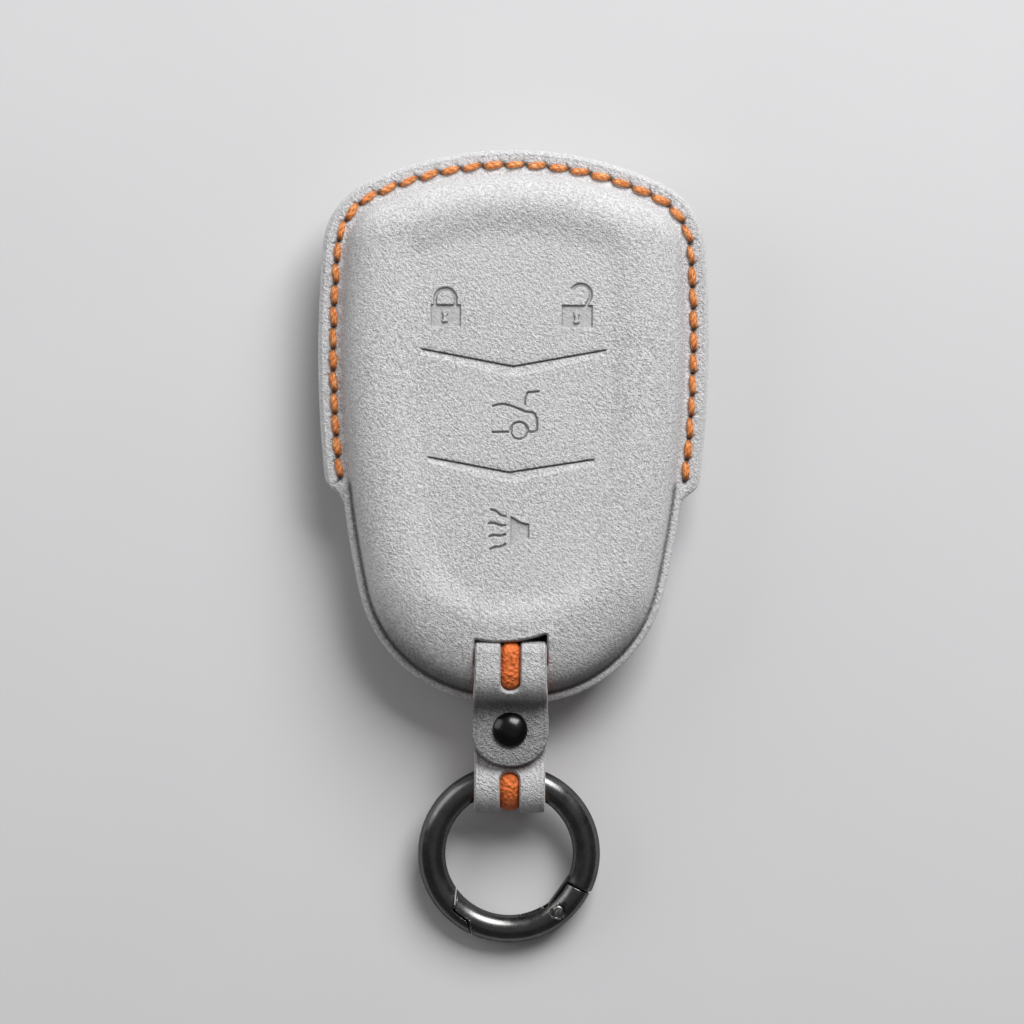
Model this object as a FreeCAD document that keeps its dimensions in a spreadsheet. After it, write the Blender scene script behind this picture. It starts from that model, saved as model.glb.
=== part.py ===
import FreeCAD, Part
import math
import os
import re

import Sketcher
from FreeCAD import Placement, Rotation, Vector

# Key fob cover: two moulded suede panels sewn along an inverted U, open at the lower lip,
# with a two-layer strap, a press snap and a ring whose sprung gate opens inwards.
# Millimetres and degrees. X is to the right, Y runs up the cover and Z is out of its face.
# The origin is the middle of the back panel's flat face, which lies on the table.

SIZES = {
    # Outline of the moulded bulge where it meets the flange
    "bulge_top": 41.0,
    "bulge_bottom": 43.7,
    "bulge_half_width": 27.7,
    "widest_height": 13.5,
    "top_arc": 52.6,
    "corner_arc": 8.4,
    "side_arc": 186.0,
    "heel_ease": 6.1,
    "bottom_ease": 10.4,
    # Sewn flange, loose lip and the ears where one becomes the other
    "seam_flange": 4.2,
    "mouth_lip": 1.6,
    "ear_round": 3.5,
    "ear_drop": 8.2,
    # Section of the two panels
    "leather": 1.6,
    "front_rise": 7.5,
    "back_rise": 7.5,
    "side_round": 7.0,
    "top_round": 5.5,
    "end_round": 14.0,
    "mouth_gap": 0.8,
    # Dished face and the two creases across it
    "dish_side_margin": 9.5,
    "dish_top_margin": 7.4,
    "dish_end_margin": 16.7,
    "dish_slope": 2.6,
    "dish_depth": 0.6,
    "crease_margin": 3.2,
    "crease_dip": 2.7,
    "crease_width": 0.7,
    "crease_depth": 0.3,
    "upper_crease": 12.7,
    "lower_crease": -5.0,
    # Stitching
    "stitch_inset": 2.5,
    "stitch_pitch": 3.5,
    "stitch_gap": 0.3,
    "stitch_radius": 0.55,
    "stitch_end_radius": 0.2,
    "stitch_slant": 6.0,
    "stitch_overrun": 1.0,
    # Strap and its slots
    "strap_width": 11.6,
    "neck_taper": 0.2,
    "tip_flare": 1.0,
    "strap_face": 0.8,
    "strap_lining": 0.7,
    "slot_clearance": 0.25,
    "slot_offset": 8.8,
    "front_slot_length": 4.1,
    "back_slot_offset": 3.3,
    "back_slot_length": 2.6,
    "slot_bend": 0.6,
    "slot_crown": 0.4,
    "tongue_bend": 3.5,
    "tongue_rake": 7.0,
    "foot_offset": 1.3,
    "tip_bend": 16.0,
    "tip_straight": 3.0,
    "tongue_overhang": 6.1,
    "tip_arc_depth": 6.2,
    "window_width": 3.2,
    "tongue_window_margin": 3.4,
    "loop_window_lead": 2.15,
    "slot_window_depth": 4.5,
    # Loop round the ring
    "eye_clearance": 0.275,
    "eye_drop": 1.7,
    "eye_tip_gap": 0.24,
    "seat_drop": 1.4,
    "back_layer_bend": 2.3,
    "eye_throat_bend": 3.5,
    "eye_lip_bend": 3.0,
    "loop_overlap": 3.1,
    # Press snap
    "cap_radius": 2.85,
    "cap_margin": 0.05,
    "cap_height": 1.5,
    "cap_rim": 0.4,
    "post_radius": 0.8,
    "post_clearance": 0.05,
    "flare_lip": 0.4,
    "flare_thickness": 0.15,
    "socket_wall": 0.85,
    "bulb_room": 0.65,
    "socket_plate": 0.25,
    "socket_clearance": 0.1,
    "stud_flange_radius": 2.6,
    "stud_flange": 0.3,
    "stud_rise": 0.7,
    "stud_bulb": 1.5,
    "bulb_step": 0.3,
    "bulb_gap": 0.05,
    "stud_wall": 0.25,
    "snap_wire": 0.3,
    "wire_clearance": 0.16,
    "snap_wire_gap": 0.5,
    "snap_wire_grip": 0.03,
    "rivet_head_radius": 2.3,
    "rivet_head": 0.6,
    "rivet_margin": 0.4,
    # Ring with its gate
    "ring_outer": 15.0,
    "ring_tube": 4.5,
    "hinge_angle": 25.0,
    "step_angle": 121.2,
    "nose_lap": 13.05,
    "heel_lean": 10.3,
    "nose_lean": 18.9,
    "step_offset": 0.1,
    "gate_gap": 0.24,
    "pin_lead": 23.4,
    "pin_inset": 0.45,
    "pin_radius": 0.75,
    "pin_clearance": 0.05,
    "pin_head_radius": 0.95,
    "pin_head": 0.25,
    "pin_recess_radius": 1.25,
    "pin_recess": 0.4,
    "lug_inset": 0.5,
    "lug_thickness": 1.6,
    "lug_root": 11.0,
    "fork_clearance": 0.12,
    "fork_room": 0.5,
    "spring_thickness": 0.25,
    "spring_width": 1.2,
    "spring_span": 21.1,
    "spring_inset": 0.75,
    "spring_clearance": 0.06,
    "spring_reach": 1.2,
}

# Sizes that follow from those above, so that pieces which meet move together
DERIVED = {
    "heel_arc": "bulge_half_width - heel_ease",
    "bottom_arc": "bulge_half_width + bottom_ease",
    "seam_height": "back_rise + leather",
    "strap_depth": "strap_lining + strap_face",
    "dish_half_width": "bulge_half_width - dish_side_margin",
    "dish_top": "bulge_top - dish_top_margin",
    "dish_bottom": "bulge_bottom - dish_end_margin",
    "crease_half_width": "dish_half_width - crease_margin",
    "tongue_neck": "strap_width - neck_taper",
    "tongue_width": "strap_width + tip_flare",
    # Slots, and the share of the front panel's rise that its rounded end has at the front slot
    "front_slot": "bulge_bottom - slot_offset",
    "back_slot": "bulge_bottom - back_slot_offset",
    "slot_share": "sqrt(1 - ((end_round - slot_offset) / end_round) ^ 2)",
    # Underside of the strap where it crosses the front slot, and where it is parted there
    "crossing": "seam_height + leather + front_rise * slot_share + slot_crown - strap_depth",
    "parting": "-front_slot - slot_clearance - slot_bend - strap_depth",
    # Strap beyond the lip: foot of the tongue, snap, tip, and the loop's eye clear of the tip
    "seat_height": "seam_height - seat_drop",
    "snap_gap": "stud_flange + stud_rise + socket_clearance + flare_thickness + socket_plate",
    "tongue_seat": "seat_height + strap_depth + snap_gap",
    "tongue_foot": "bulge_bottom + mouth_lip + foot_offset",
    "shoulder_bend": "tongue_foot - tongue_rake",
    "snap_reach": "tongue_foot + cap_radius - cap_margin",
    "tip_start": "snap_reach + tip_straight",
    "tip_reach": "snap_reach + tongue_overhang",
    "tip_arc_start": "tip_reach - tip_arc_depth",
    "tip_droop": "tip_bend - sqrt(tip_bend ^ 2 - (tip_reach - tip_start) ^ 2)",
    "tongue_window_end": "tongue_foot - tongue_window_margin",
    "back_layer_foot": "snap_reach - rivet_head_radius - rivet_margin",
    "loop_end": "snap_reach - loop_overlap",
    "eye_axis_height": "seat_height - eye_drop",
    "eye_radius": "ring_sag + ring_tube / 2 * ring_mean / ring_chord + eye_clearance",
    "eye_reach": "tip_reach + sqrt(max((eye_radius + strap_depth + eye_tip_gap) ^ 2"
                 " - (tongue_seat - tip_droop - eye_axis_height) ^ 2; 1))",
    "loop_window_start": "eye_reach - loop_window_lead",
    # Snap
    "flare_radius": "post_radius + flare_lip",
    "socket_bore": "stud_bulb + bulb_room",
    "socket_radius": "socket_bore + socket_wall",
    "stud_neck": "stud_bulb - bulb_step",
    "snap_wire_inner": "stud_neck + wire_clearance",
    # Ring: mean radius, half of how far it bows across the eye, and its tilt down to the table
    "ring_mean": "ring_outer - ring_tube / 2",
    "ring_chord": "sqrt(ring_mean ^ 2 - (strap_width / 2) ^ 2)",
    "ring_sag": "(ring_mean - ring_chord) / 2",
    "ring_tilt": "asin((eye_axis_height - ring_tube / 2) / (2 * ring_mean - ring_sag))",
    # Gate, with clockwise angles from the ring's right side
    "nose_angle": "step_angle + nose_lap",
    "pin_angle": "hinge_angle + pin_lead",
    "pin_reach": "ring_mean - pin_inset",
    "lug_root_angle": "hinge_angle - lug_root",
    "lug_radius": "ring_tube / 2 - lug_inset",
    "cheek_height": "ring_tube / 2 - pin_recess",
    "fork_end": "pin_angle + (lug_radius + fork_room) / pin_reach * 180 / pi",
    "spring_end_angle": "fork_end + spring_span",
    "leaf_radius": "ring_outer - ring_tube + spring_inset",
}

# Angles on the rounded wall's quarter ellipse at which the mould's sections are drawn
WALL_ANGLES = (0.0, 25.0, 50.0, 72.0, 90.0)
# How much of an inset the corner and bottom arcs, and the heel arcs, lose as the wall rounds over
CORNER_SHARE = 0.45
HEEL_SHARE = 0.9
# Length by which a cut passes beyond the surface that it opens
OVERCUT = 1.0

doc = FreeCAD.newDocument("key_fob_cover")
sheet = doc.addObject("Spreadsheet::Sheet", "Sizes")
for row, (name, value) in enumerate(SIZES.items(), start=1):
    sheet.set(f"A{row}", name)
    sheet.set(f"B{row}", str(value))
    sheet.setAlias(f"B{row}", name)
doc.recompute()

sub_parts = []


def bound(text):
    """Writes an expression on the sheet's cells from plain size names."""
    def cell(match):
        word = match[0]
        if word in DERIVED:
            return f"({bound(DERIVED[word])})"
        return f"Sizes.{word}" if word in SIZES else word
    return re.sub(r"[a-z_]+", cell, text)


def number(text):
    """Value of an expression on the sheet's cells."""
    return float(sheet.evalExpression(bound(text)))


def polar(centre, radius, angle):
    """Point at a radius and an angle, in radians, from a centre."""
    return Vector(centre.x + radius * math.cos(angle), centre.y + radius * math.sin(angle), 0)


def direction(start, end):
    """Angle, in radians, from one point to another."""
    return math.atan2(end.y - start.y, end.x - start.x)


def new_body(name):
    """Starts a sub-part that is kept under this name."""
    body = doc.addObject("PartDesign::Body", name)
    body.Label = name
    sub_parts.append(body)
    return body


def new_sketch(body, name, plane="XY_Plane", level="0"):
    """Sketch on one of the body's own planes, raised to a level."""
    sketch = body.newObject("Sketcher::SketchObject", name)
    support = [feature for feature in body.Origin.OriginFeatures if feature.Role == plane][0]
    sketch.AttachmentSupport = [(support, "")]
    sketch.MapMode = "FlatFace"
    sketch.setExpression("AttachmentOffset.Base.z", bound(level))
    return sketch


def dimension(sketch, kind, *terms):
    """Adds a dimension whose last term is an expression on the sheet's cells."""
    index = sketch.addConstraint(Sketcher.Constraint(kind, *terms[:-1], number(terms[-1])))
    sketch.setExpression(f"Constraints[{index}]", bound(terms[-1]))


def draw_arc(sketch, centre, radius, start, end, size):
    """Adds an arc with its radius bound to a size, turning left from start to end."""
    while end <= start:
        end += 2 * math.pi
    circle = Part.Circle(centre, Vector(0, 0, 1), radius)
    index = sketch.addGeometry(Part.ArcOfCircle(circle, start, end))
    dimension(sketch, "Radius", index, size)
    return index


def point(place):
    """Point at a place given by two expressions."""
    return Vector(number(place[0]), number(place[1]), 0)


def pin_point(sketch, index, end, place):
    """Fixes one end of a line at a place given by two expressions."""
    dimension(sketch, "DistanceX", index, end, place[0])
    dimension(sketch, "DistanceY", index, end, place[1])


def join(sketch, first, second):
    """Joins two ends, each given as an element and its point."""
    sketch.addConstraint(Sketcher.Constraint("Coincident", *first, *second))


def draw_line(sketch, start, end):
    """Adds a line between two places, each fixed by its expressions."""
    index = sketch.addGeometry(Part.LineSegment(point(start), point(end)))
    pin_point(sketch, index, 1, start)
    pin_point(sketch, index, 2, end)
    return index


def draw_polygon(sketch, corners):
    """Adds a closed polygon through places given by expressions."""
    lines = []
    for here, there in zip(corners, corners[1:] + corners[:1]):
        index = sketch.addGeometry(Part.LineSegment(point(here), point(there)))
        pin_point(sketch, index, 1, here)
        lines.append(index)
    for here, there in zip(lines, lines[1:] + lines[:1]):
        join(sketch, (here, 2), (there, 1))


def draw_rectangle(sketch, half_width, bottom, top):
    """Adds a rectangle about the Y axis."""
    draw_polygon(sketch, [(f"-({half_width})", bottom), (half_width, bottom), (half_width, top),
                          (f"-({half_width})", top)])


def draw_circle(sketch, place, size):
    """Adds a circle at a place, with its radius bound to a size."""
    index = sketch.addGeometry(Part.Circle(point(place), Vector(0, 0, 1), number(size)))
    dimension(sketch, "Radius", index, size)
    pin_point(sketch, index, 3, place)
    return index


def draw_slot(sketch, first, last, size):
    """Adds a round-ended slot between two places, with its half width bound to a size."""
    radius = number(size)
    start = point(first)
    end = point(last)
    along = direction(start, end)
    quarter = math.pi / 2
    near = draw_arc(sketch, start, radius, along + quarter, along - quarter, size)
    far = draw_arc(sketch, end, radius, along - quarter, along + quarter, size)
    right = sketch.addGeometry(Part.LineSegment(polar(start, radius, along - quarter),
                                                polar(end, radius, along - quarter)))
    left = sketch.addGeometry(Part.LineSegment(polar(end, radius, along + quarter),
                                               polar(start, radius, along + quarter)))
    chain = (near, right, far, left)
    for here, there in zip(chain, chain[1:] + chain[:1]):
        sketch.addConstraint(Sketcher.Constraint("Tangent", here, 2, there, 1))
    pin_point(sketch, near, 3, first)
    pin_point(sketch, far, 3, last)


def add_pad(body, sketch, length, both_sides=False, reverse=False):
    """Thickens a sketch by a bound length."""
    pad = body.newObject("PartDesign::Pad", f"{sketch.Name}_pad")
    pad.Profile = sketch
    pad.Midplane = both_sides
    pad.Reversed = reverse
    pad.setExpression("Length", bound(length))
    return pad


def add_pocket(body, sketch, length=None, reverse=False):
    """Cuts a sketch to a bound length, or right through both ways without one."""
    pocket = body.newObject("PartDesign::Pocket", f"{sketch.Name}_cut")
    pocket.Profile = sketch
    pocket.Reversed = reverse
    if length is None:
        pocket.Midplane = True
        pocket.Type = "ThroughAll"
    else:
        pocket.setExpression("Length", bound(length))
    return pocket


def add_slice(body, sketch, length):
    """Cuts a sketch to a bound length, half on each side of its plane."""
    pocket = add_pocket(body, sketch, length)
    pocket.Midplane = True
    return pocket


def add_revolution(body, sketch):
    """Turns a sketch once round its vertical axis."""
    turned = body.newObject("PartDesign::Revolution", f"{sketch.Name}_turned")
    turned.Profile = sketch
    turned.ReferenceAxis = (sketch, ["V_Axis"])
    turned.Angle = 360.0
    return turned


def add_loft(body, kind, sketches):
    """Joins sketches by an additive or subtractive loft."""
    loft = body.newObject(f"PartDesign::{kind}Loft", f"{sketches[0].Name}_loft")
    loft.Profile = sketches[0]
    loft.Sections = sketches[1:]
    return loft


def outline(side, top, end):
    """Centres and radii of the bulge outline drawn in by three insets, given as expressions."""
    sizes = {
        "top": f"top_arc - ({top})",
        "corner": f"corner_arc - {CORNER_SHARE} * ({side})",
        "side": f"side_arc - ({side})",
        "heel": f"heel_arc - {HEEL_SHARE} * ({side})",
        "bottom": f"bottom_arc - {CORNER_SHARE} * ({end})",
    }
    radius = {name: number(size) for name, size in sizes.items()}
    places = {
        "top": "bulge_top - top_arc",
        "bottom": f"({end}) - bulge_bottom + {sizes['bottom']}",
        "side": "bulge_half_width - side_arc",
    }
    centre = {
        "top": Vector(0, number(places["top"]), 0),
        "bottom": Vector(0, number(places["bottom"]), 0),
        "side": Vector(number(places["side"]), number("widest_height"), 0),
    }
    centre["corner"] = tangent_centre(centre["top"], radius["top"], centre["side"], radius["side"],
                                      radius["corner"], 1)
    centre["heel"] = tangent_centre(centre["side"], radius["side"], centre["bottom"], radius["bottom"],
                                    radius["heel"], -1)
    turns = {
        "top_corner": direction(centre["top"], centre["corner"]),
        "corner_side": direction(centre["side"], centre["corner"]),
        "side_heel": direction(centre["side"], centre["heel"]),
        "heel_bottom": direction(centre["bottom"], centre["heel"]),
    }
    return sizes, places, centre, turns


def tangent_centre(first, first_radius, second, second_radius, radius, upper):
    """Centre of an arc that lies inside two circles and touches both."""
    reach = first_radius - radius
    other = second_radius - radius
    apart = first.distanceToPoint(second)
    along = (reach ** 2 - other ** 2 + apart ** 2) / (2 * apart)
    across = math.sqrt(reach ** 2 - along ** 2)
    line = (second - first) / apart
    normal = Vector(-line.y, line.x, 0)
    candidates = [first + line * along + normal * across, first + line * along - normal * across]
    return max(candidates, key=lambda point: upper * point.y)


def mirrored(arc):
    """The same arc on the other side of the Y axis."""
    name, centre, start, end = arc
    return name, Vector(-centre.x, centre.y, 0), math.pi - end, math.pi - start


def pin_centres(sketch, index, places):
    """Fixes the top, bottom and side arcs' centres by the outline's own sizes."""
    for name in ("top", "bottom"):
        sketch.addConstraint(Sketcher.Constraint("PointOnObject", index[name], 3, -2))
        dimension(sketch, "DistanceY", index[name], 3, places[name])
    for name, sign in (("right_side", "1"), ("left_side", "-1")):
        dimension(sketch, "DistanceX", index[name], 3, f"{sign} * ({places['side']})")
        dimension(sketch, "DistanceY", index[name], 3, "widest_height")


def draw_outline(sketch, side, top, end):
    """Draws the bulge outline, drawn in by insets, as eight tangent arcs."""
    sizes, places, centre, turns = outline(side, top, end)
    right = [
        ("heel", centre["heel"], turns["heel_bottom"], turns["side_heel"]),
        ("side", centre["side"], turns["side_heel"], turns["corner_side"]),
        ("corner", centre["corner"], turns["corner_side"], turns["top_corner"]),
    ]
    upper = ("top", centre["top"], turns["top_corner"], math.pi - turns["top_corner"])
    lower = ("bottom", centre["bottom"], math.pi - turns["heel_bottom"], turns["heel_bottom"])
    left = [mirrored(arc) for arc in reversed(right)]
    index = {}
    order = []
    for hand, arcs in (("right_", right), ("", [upper]), ("left_", left), ("", [lower])):
        for name, middle, start, finish in arcs:
            index[hand + name] = draw_arc(sketch, middle, number(sizes[name]), start, finish, sizes[name])
            order.append(index[hand + name])
    for here, there in zip(order, order[1:] + order[:1]):
        sketch.addConstraint(Sketcher.Constraint("Tangent", here, 2, there, 1))
    pin_centres(sketch, index, places)


def draw_flange(sketch):
    """Draws the cut edge: sewn flange above the ears, narrow lip below them."""
    sizes, places, centre, turns = outline("0", "0", "0")
    flange = {name: f"{size} + seam_flange" for name, size in sizes.items()}
    lip = {name: f"{size} + mouth_lip" for name, size in sizes.items()}
    hub = centre["side"]
    ear = number("ear_round")
    inner = number(flange["side"]) - ear
    outer = number(lip["side"]) + ear
    start = math.asin((-number("ear_drop") - hub.y) / number(flange["side"]))
    swing = math.acos((inner ** 2 + outer ** 2 - 4 * ear ** 2) / (2 * inner * outer))
    crown = polar(hub, inner, start)
    hollow = polar(hub, outer, start - swing)
    meet = direction(hollow, crown)
    right = [
        ("heel", centre["heel"], lip["heel"], turns["heel_bottom"], turns["side_heel"], True),
        ("lower", hub, lip["side"], turns["side_heel"], start - swing, True),
        ("hollow", hollow, "ear_round", meet, start - swing + math.pi, False),
        ("crown", crown, "ear_round", meet + math.pi, start, True),
        ("side", hub, flange["side"], start, turns["corner_side"], True),
        ("corner", centre["corner"], flange["corner"], turns["corner_side"], turns["top_corner"], True),
    ]
    left = [(name, Vector(-middle.x, middle.y, 0), size, math.pi - finish, math.pi - begin, turn)
            for name, middle, size, begin, finish, turn in reversed(right)]
    upper = [("top", centre["top"], flange["top"], turns["top_corner"], math.pi - turns["top_corner"], True)]
    lower = [("bottom", centre["bottom"], lip["bottom"], math.pi - turns["heel_bottom"], turns["heel_bottom"],
              True)]
    index = {}
    ends = []
    for part, arcs in (("right_", right), ("", upper), ("left_", left), ("", lower)):
        for name, middle, size, begin, finish, turn in arcs:
            arc = draw_arc(sketch, middle, number(size), begin, finish, size)
            index[part + name] = arc
            ends.append((arc, 1, 2) if turn else (arc, 2, 1))
    for here, there in zip(ends, ends[1:] + ends[:1]):
        sketch.addConstraint(Sketcher.Constraint("Tangent", here[0], here[2], there[0], there[1]))
    pin_centres(sketch, index, places)
    for hand, point in (("right_", 1), ("left_", 2)):
        lip_side, flange_side = index[hand + "lower"], index[hand + "side"]
        sketch.addConstraint(Sketcher.Constraint("Coincident", lip_side, 3, flange_side, 3))
        dimension(sketch, "DistanceY", flange_side, point, "-ear_drop")


def wall_sections(body, label, sign, rise, wall):
    """Sketches of the rounded wall from its foot to the flat, drawn in by a wall thickness."""
    sketches = []
    for count, angle in enumerate(WALL_ANGLES):
        inward = 1 - math.cos(math.radians(angle))
        upward = math.sin(math.radians(angle))
        side, top, end = (f"{wall} + ({size} - {wall}) * {inward}"
                          for size in ("side_round", "top_round", "end_round"))
        level = f"seam_height + {sign} * (leather + ({rise} - {wall}) * {upward})"
        sketch = new_sketch(body, f"{label}_{count}", level=level)
        draw_outline(sketch, side, top, end)
        sketches.append(sketch)
    return sketches


def make_panel(name, sign, rise, slot, slot_length):
    """Moulded panel: a sewn flange and a hollow bulge with a strap slot and a relieved lip."""
    body = new_body(name)
    back = sign < 0
    edge = new_sketch(body, f"{name}_edge", level="seam_height")
    draw_flange(edge)
    add_pad(body, edge, "leather", reverse=back)
    add_loft(body, "Additive", wall_sections(body, f"{name}_outer", sign, rise, "0"))
    throat = new_sketch(body, f"{name}_throat", level="seam_height")
    draw_outline(throat, "leather", "leather", "leather")
    add_pocket(body, throat, "leather", reverse=not back)
    add_loft(body, "Subtractive", wall_sections(body, f"{name}_hollow", sign, rise, "leather"))
    relief = new_sketch(body, f"{name}_mouth", level="seam_height")
    draw_rectangle(relief, "bulge_half_width + seam_flange", f"-bulge_bottom - mouth_lip - {OVERCUT}",
                   "-ear_drop - 2 * ear_round")
    add_pocket(body, relief, "mouth_gap / 2", reverse=not back)
    face = f"seam_height + {sign} * (leather + {rise})"
    opening = new_sketch(body, f"{name}_slot", level=f"{face} + {sign} * {OVERCUT}")
    draw_rectangle(opening, "strap_width / 2 + slot_clearance", f"-({slot}) - {slot_length}", f"-({slot})")
    add_pocket(body, opening, f"leather + {rise} + {OVERCUT}", reverse=back)
    return body


def dish_face(body):
    """Sinks the front panel's face and presses the two creases into it."""
    face = "seam_height + leather + front_rise"
    rings = []
    for count, (slope, level) in enumerate((("0", face), ("dish_slope", f"{face} - dish_depth"))):
        ring = new_sketch(body, f"dish_{count}", level=level)
        draw_outline(ring, f"bulge_half_width - dish_half_width + {slope}",
                     f"bulge_top - dish_top + {slope}", f"bulge_bottom - dish_bottom + {slope}")
        rings.append(ring)
    add_loft(body, "Subtractive", rings)
    half = "crease_half_width"
    creases = new_sketch(body, "creases", level=face)
    for top in ("upper_crease", "lower_crease"):
        draw_polygon(creases, [(f"-{half}", top), (f"-{half}", f"{top} - crease_width"),
                               ("0", f"{top} - crease_dip - crease_width"), (half, f"{top} - crease_width"),
                               (half, top), ("0", f"{top} - crease_dip")])
    add_pocket(body, creases, "dish_depth + crease_depth")


def seam_route():
    """Arcs of the stitch line, from the left ear over the top to the right ear."""
    sizes, places, centre, turns = outline("0", "0", "0")
    outward = number("seam_flange - stitch_inset")
    hub = centre["side"]
    low = math.asin((-number("ear_drop + stitch_overrun") - hub.y) / number("side_arc + seam_flange"))
    right = [
        ("top", centre["top"], turns["top_corner"], math.pi / 2),
        ("corner", centre["corner"], turns["corner_side"], turns["top_corner"]),
        ("side", hub, low, turns["corner_side"]),
    ]
    left = [mirrored(arc) for arc in reversed(right)]
    return [(middle, number(sizes[name]) + outward, start, end) for name, middle, start, end in left + right]


def make_stitches():
    """Row of half-round stitches on both faces of the sewn flange."""
    route = seam_route()
    lengths = [radius * (end - start) for centre, radius, start, end in route]
    count = round(sum(lengths) / number("stitch_pitch"))
    pitch = sum(lengths) / count
    half = (pitch - number("stitch_gap")) / 2
    radius = number("stitch_radius")
    tail = number("stitch_end_radius")
    rings = []
    for along, reach in ((-half, tail), (-half / 2, radius), (half / 2, radius), (half, tail)):
        arch = [Vector(along, reach * math.cos(turn), reach * math.sin(turn))
                for turn in (0, math.pi / 4, math.pi / 2, 3 * math.pi / 4, math.pi)]
        rings.append(Part.makePolygon(arch + arch[:1]))
    stitch = Part.makeLoft(rings, True, True)
    stitches = []
    for step in range(count):
        run = (step + 0.5) * pitch
        for (centre, reach, start, end), length in zip(route, lengths):
            if run <= length:
                break
            run -= length
        angle = end - run / reach
        place = polar(centre, reach, angle)
        slant = math.degrees(angle) - 90 + number("stitch_slant")
        for side, turn in ((1, 0), (-1, 180)):
            place.z = number(f"seam_height + {side} * leather")
            turned = Rotation(Vector(0, 0, 1), slant) * Rotation(Vector(1, 0, 0), turn)
            copy = stitch.copy()
            copy.Placement = Placement(place, turned)
            stitches.append(copy)
    feature = doc.addObject("Part::Feature", "stitch_thread")
    feature.Label = "stitch_thread"
    feature.Shape = Part.Compound(stitches)
    sub_parts.append(feature)


def belt(circles, first_heading, last_heading):
    """Headings of the tangent runs between circles that a strap bends round, each (centre, radius, turn)."""
    headings = [first_heading]
    for (here, here_radius, here_turn), (there, there_radius, there_turn) in zip(circles, circles[1:]):
        across = there_turn * there_radius - here_turn * here_radius
        apart = here.distanceToPoint(there)
        run = math.sqrt(max(apart ** 2 - across ** 2, 0))
        heading = direction(here, there) - math.atan2(across, run)
        while heading - headings[-1] > math.pi:
            heading -= 2 * math.pi
        while heading - headings[-1] < -math.pi:
            heading += 2 * math.pi
        if here_turn * (heading - headings[-1]) < 0:
            heading += here_turn * 2 * math.pi
        headings.append(heading)
    headings.append(last_heading)
    return headings


def bend_point(circle, heading, offset):
    """Point of a strap's layer on a bend, at a heading and an offset to its left."""
    centre, radius, turn = circle
    return centre + Vector(-math.sin(heading), math.cos(heading), 0) * (offset - turn * radius)


def draw_edge(sketch, route, offset):
    """Draws one long edge of a strap layer's side view, at an offset from the route, as an expression."""
    start, circles, bends, headings, finish = route
    shift = number(offset)
    here = start[0] + Vector(-math.sin(headings[0]), math.cos(headings[0]), 0) * shift
    pieces = []
    for circle, (size, place), heading, following in zip(circles, bends, headings, headings[1:]):
        centre, radius, turn = circle
        there = bend_point(circle, heading, shift)
        if here.distanceToPoint(there) > 1e-6:
            pieces.append((sketch.addGeometry(Part.LineSegment(here, there)), 1, 2))
        begin, end = (heading, following) if turn > 0 else (following, heading)
        quarter = -turn * math.pi / 2
        sign = "-" if turn > 0 else "+"
        arc = draw_arc(sketch, centre, radius - turn * shift, begin + quarter, end + quarter,
                       f"{size} {sign} ({offset})")
        for axis, term in zip(("DistanceX", "DistanceY"), place):
            if term:
                dimension(sketch, axis, arc, 3, term)
        pieces.append((arc, 1, 2) if turn > 0 else (arc, 2, 1))
        here = bend_point(circle, following, shift)
    there = point(finish) + Vector(0, shift, 0)
    pieces.append((sketch.addGeometry(Part.LineSegment(here, there)), 1, 2))
    for one, two in zip(pieces, pieces[1:]):
        sketch.addConstraint(Sketcher.Constraint("Tangent", one[0], one[2], two[0], two[1]))
    dimension(sketch, "DistanceX", *pieces[0][:2], f"{start[1]} - ({start[2]}) * ({offset})")
    pin_point(sketch, *pieces[-1][::2], (finish[0], f"{finish[1]} + {offset}"))
    return pieces[0][:2], pieces[-1][::2]


def draw_strip(sketch, route, inner, outer):
    """Draws a strap layer's side view between two offsets from the route."""
    edges = [draw_edge(sketch, route, offset) for offset in (inner, outer)]
    for low, high in zip(*edges):
        corners = [sketch.getPoint(*low), sketch.getPoint(*high)]
        cut = sketch.addGeometry(Part.LineSegment(*corners))
        join(sketch, (cut, 1), low)
        join(sketch, (cut, 2), high)


def bends_of(*bends):
    """Circles, and their sizes and fixed terms, from (radius, turn, x, y, place) bends."""
    circles = []
    sizes = []
    for radius, turn, across, height, place in bends:
        circles.append((place or point((across, height)), number(radius), turn))
        sizes.append((radius, (None if place else across, height)))
    return circles, sizes


def tongue_route():
    """Underside of the tongue, from its rounded tip up over the lip to the front slot."""
    circles, sizes = bends_of(
        ("tip_bend", -1, "-tip_start", "tongue_seat - tip_bend", None),
        ("tongue_bend", 1, "-tongue_foot", "tongue_seat + tongue_bend", None),
        ("tongue_bend", -1, "-shoulder_bend", "crossing - tongue_bend", None))
    droop = "(tip_reach - tip_start) / tip_bend"
    headings = belt(circles, math.asin(number(droop)), 0)
    start = bend_point(circles[0], headings[0], 0)
    return (start, "-tip_reach", droop), circles, sizes, headings, ("parting", "crossing")


def beside_eye(radius, height):
    """Place of a bend at a height that touches the strap's eye on its cover side."""
    reach = number(f"eye_radius + {radius}")
    rise = number(f"{height} - eye_axis_height")
    return point(("-eye_reach", height)) + Vector(math.sqrt(reach ** 2 - rise ** 2), 0, 0)


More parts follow.
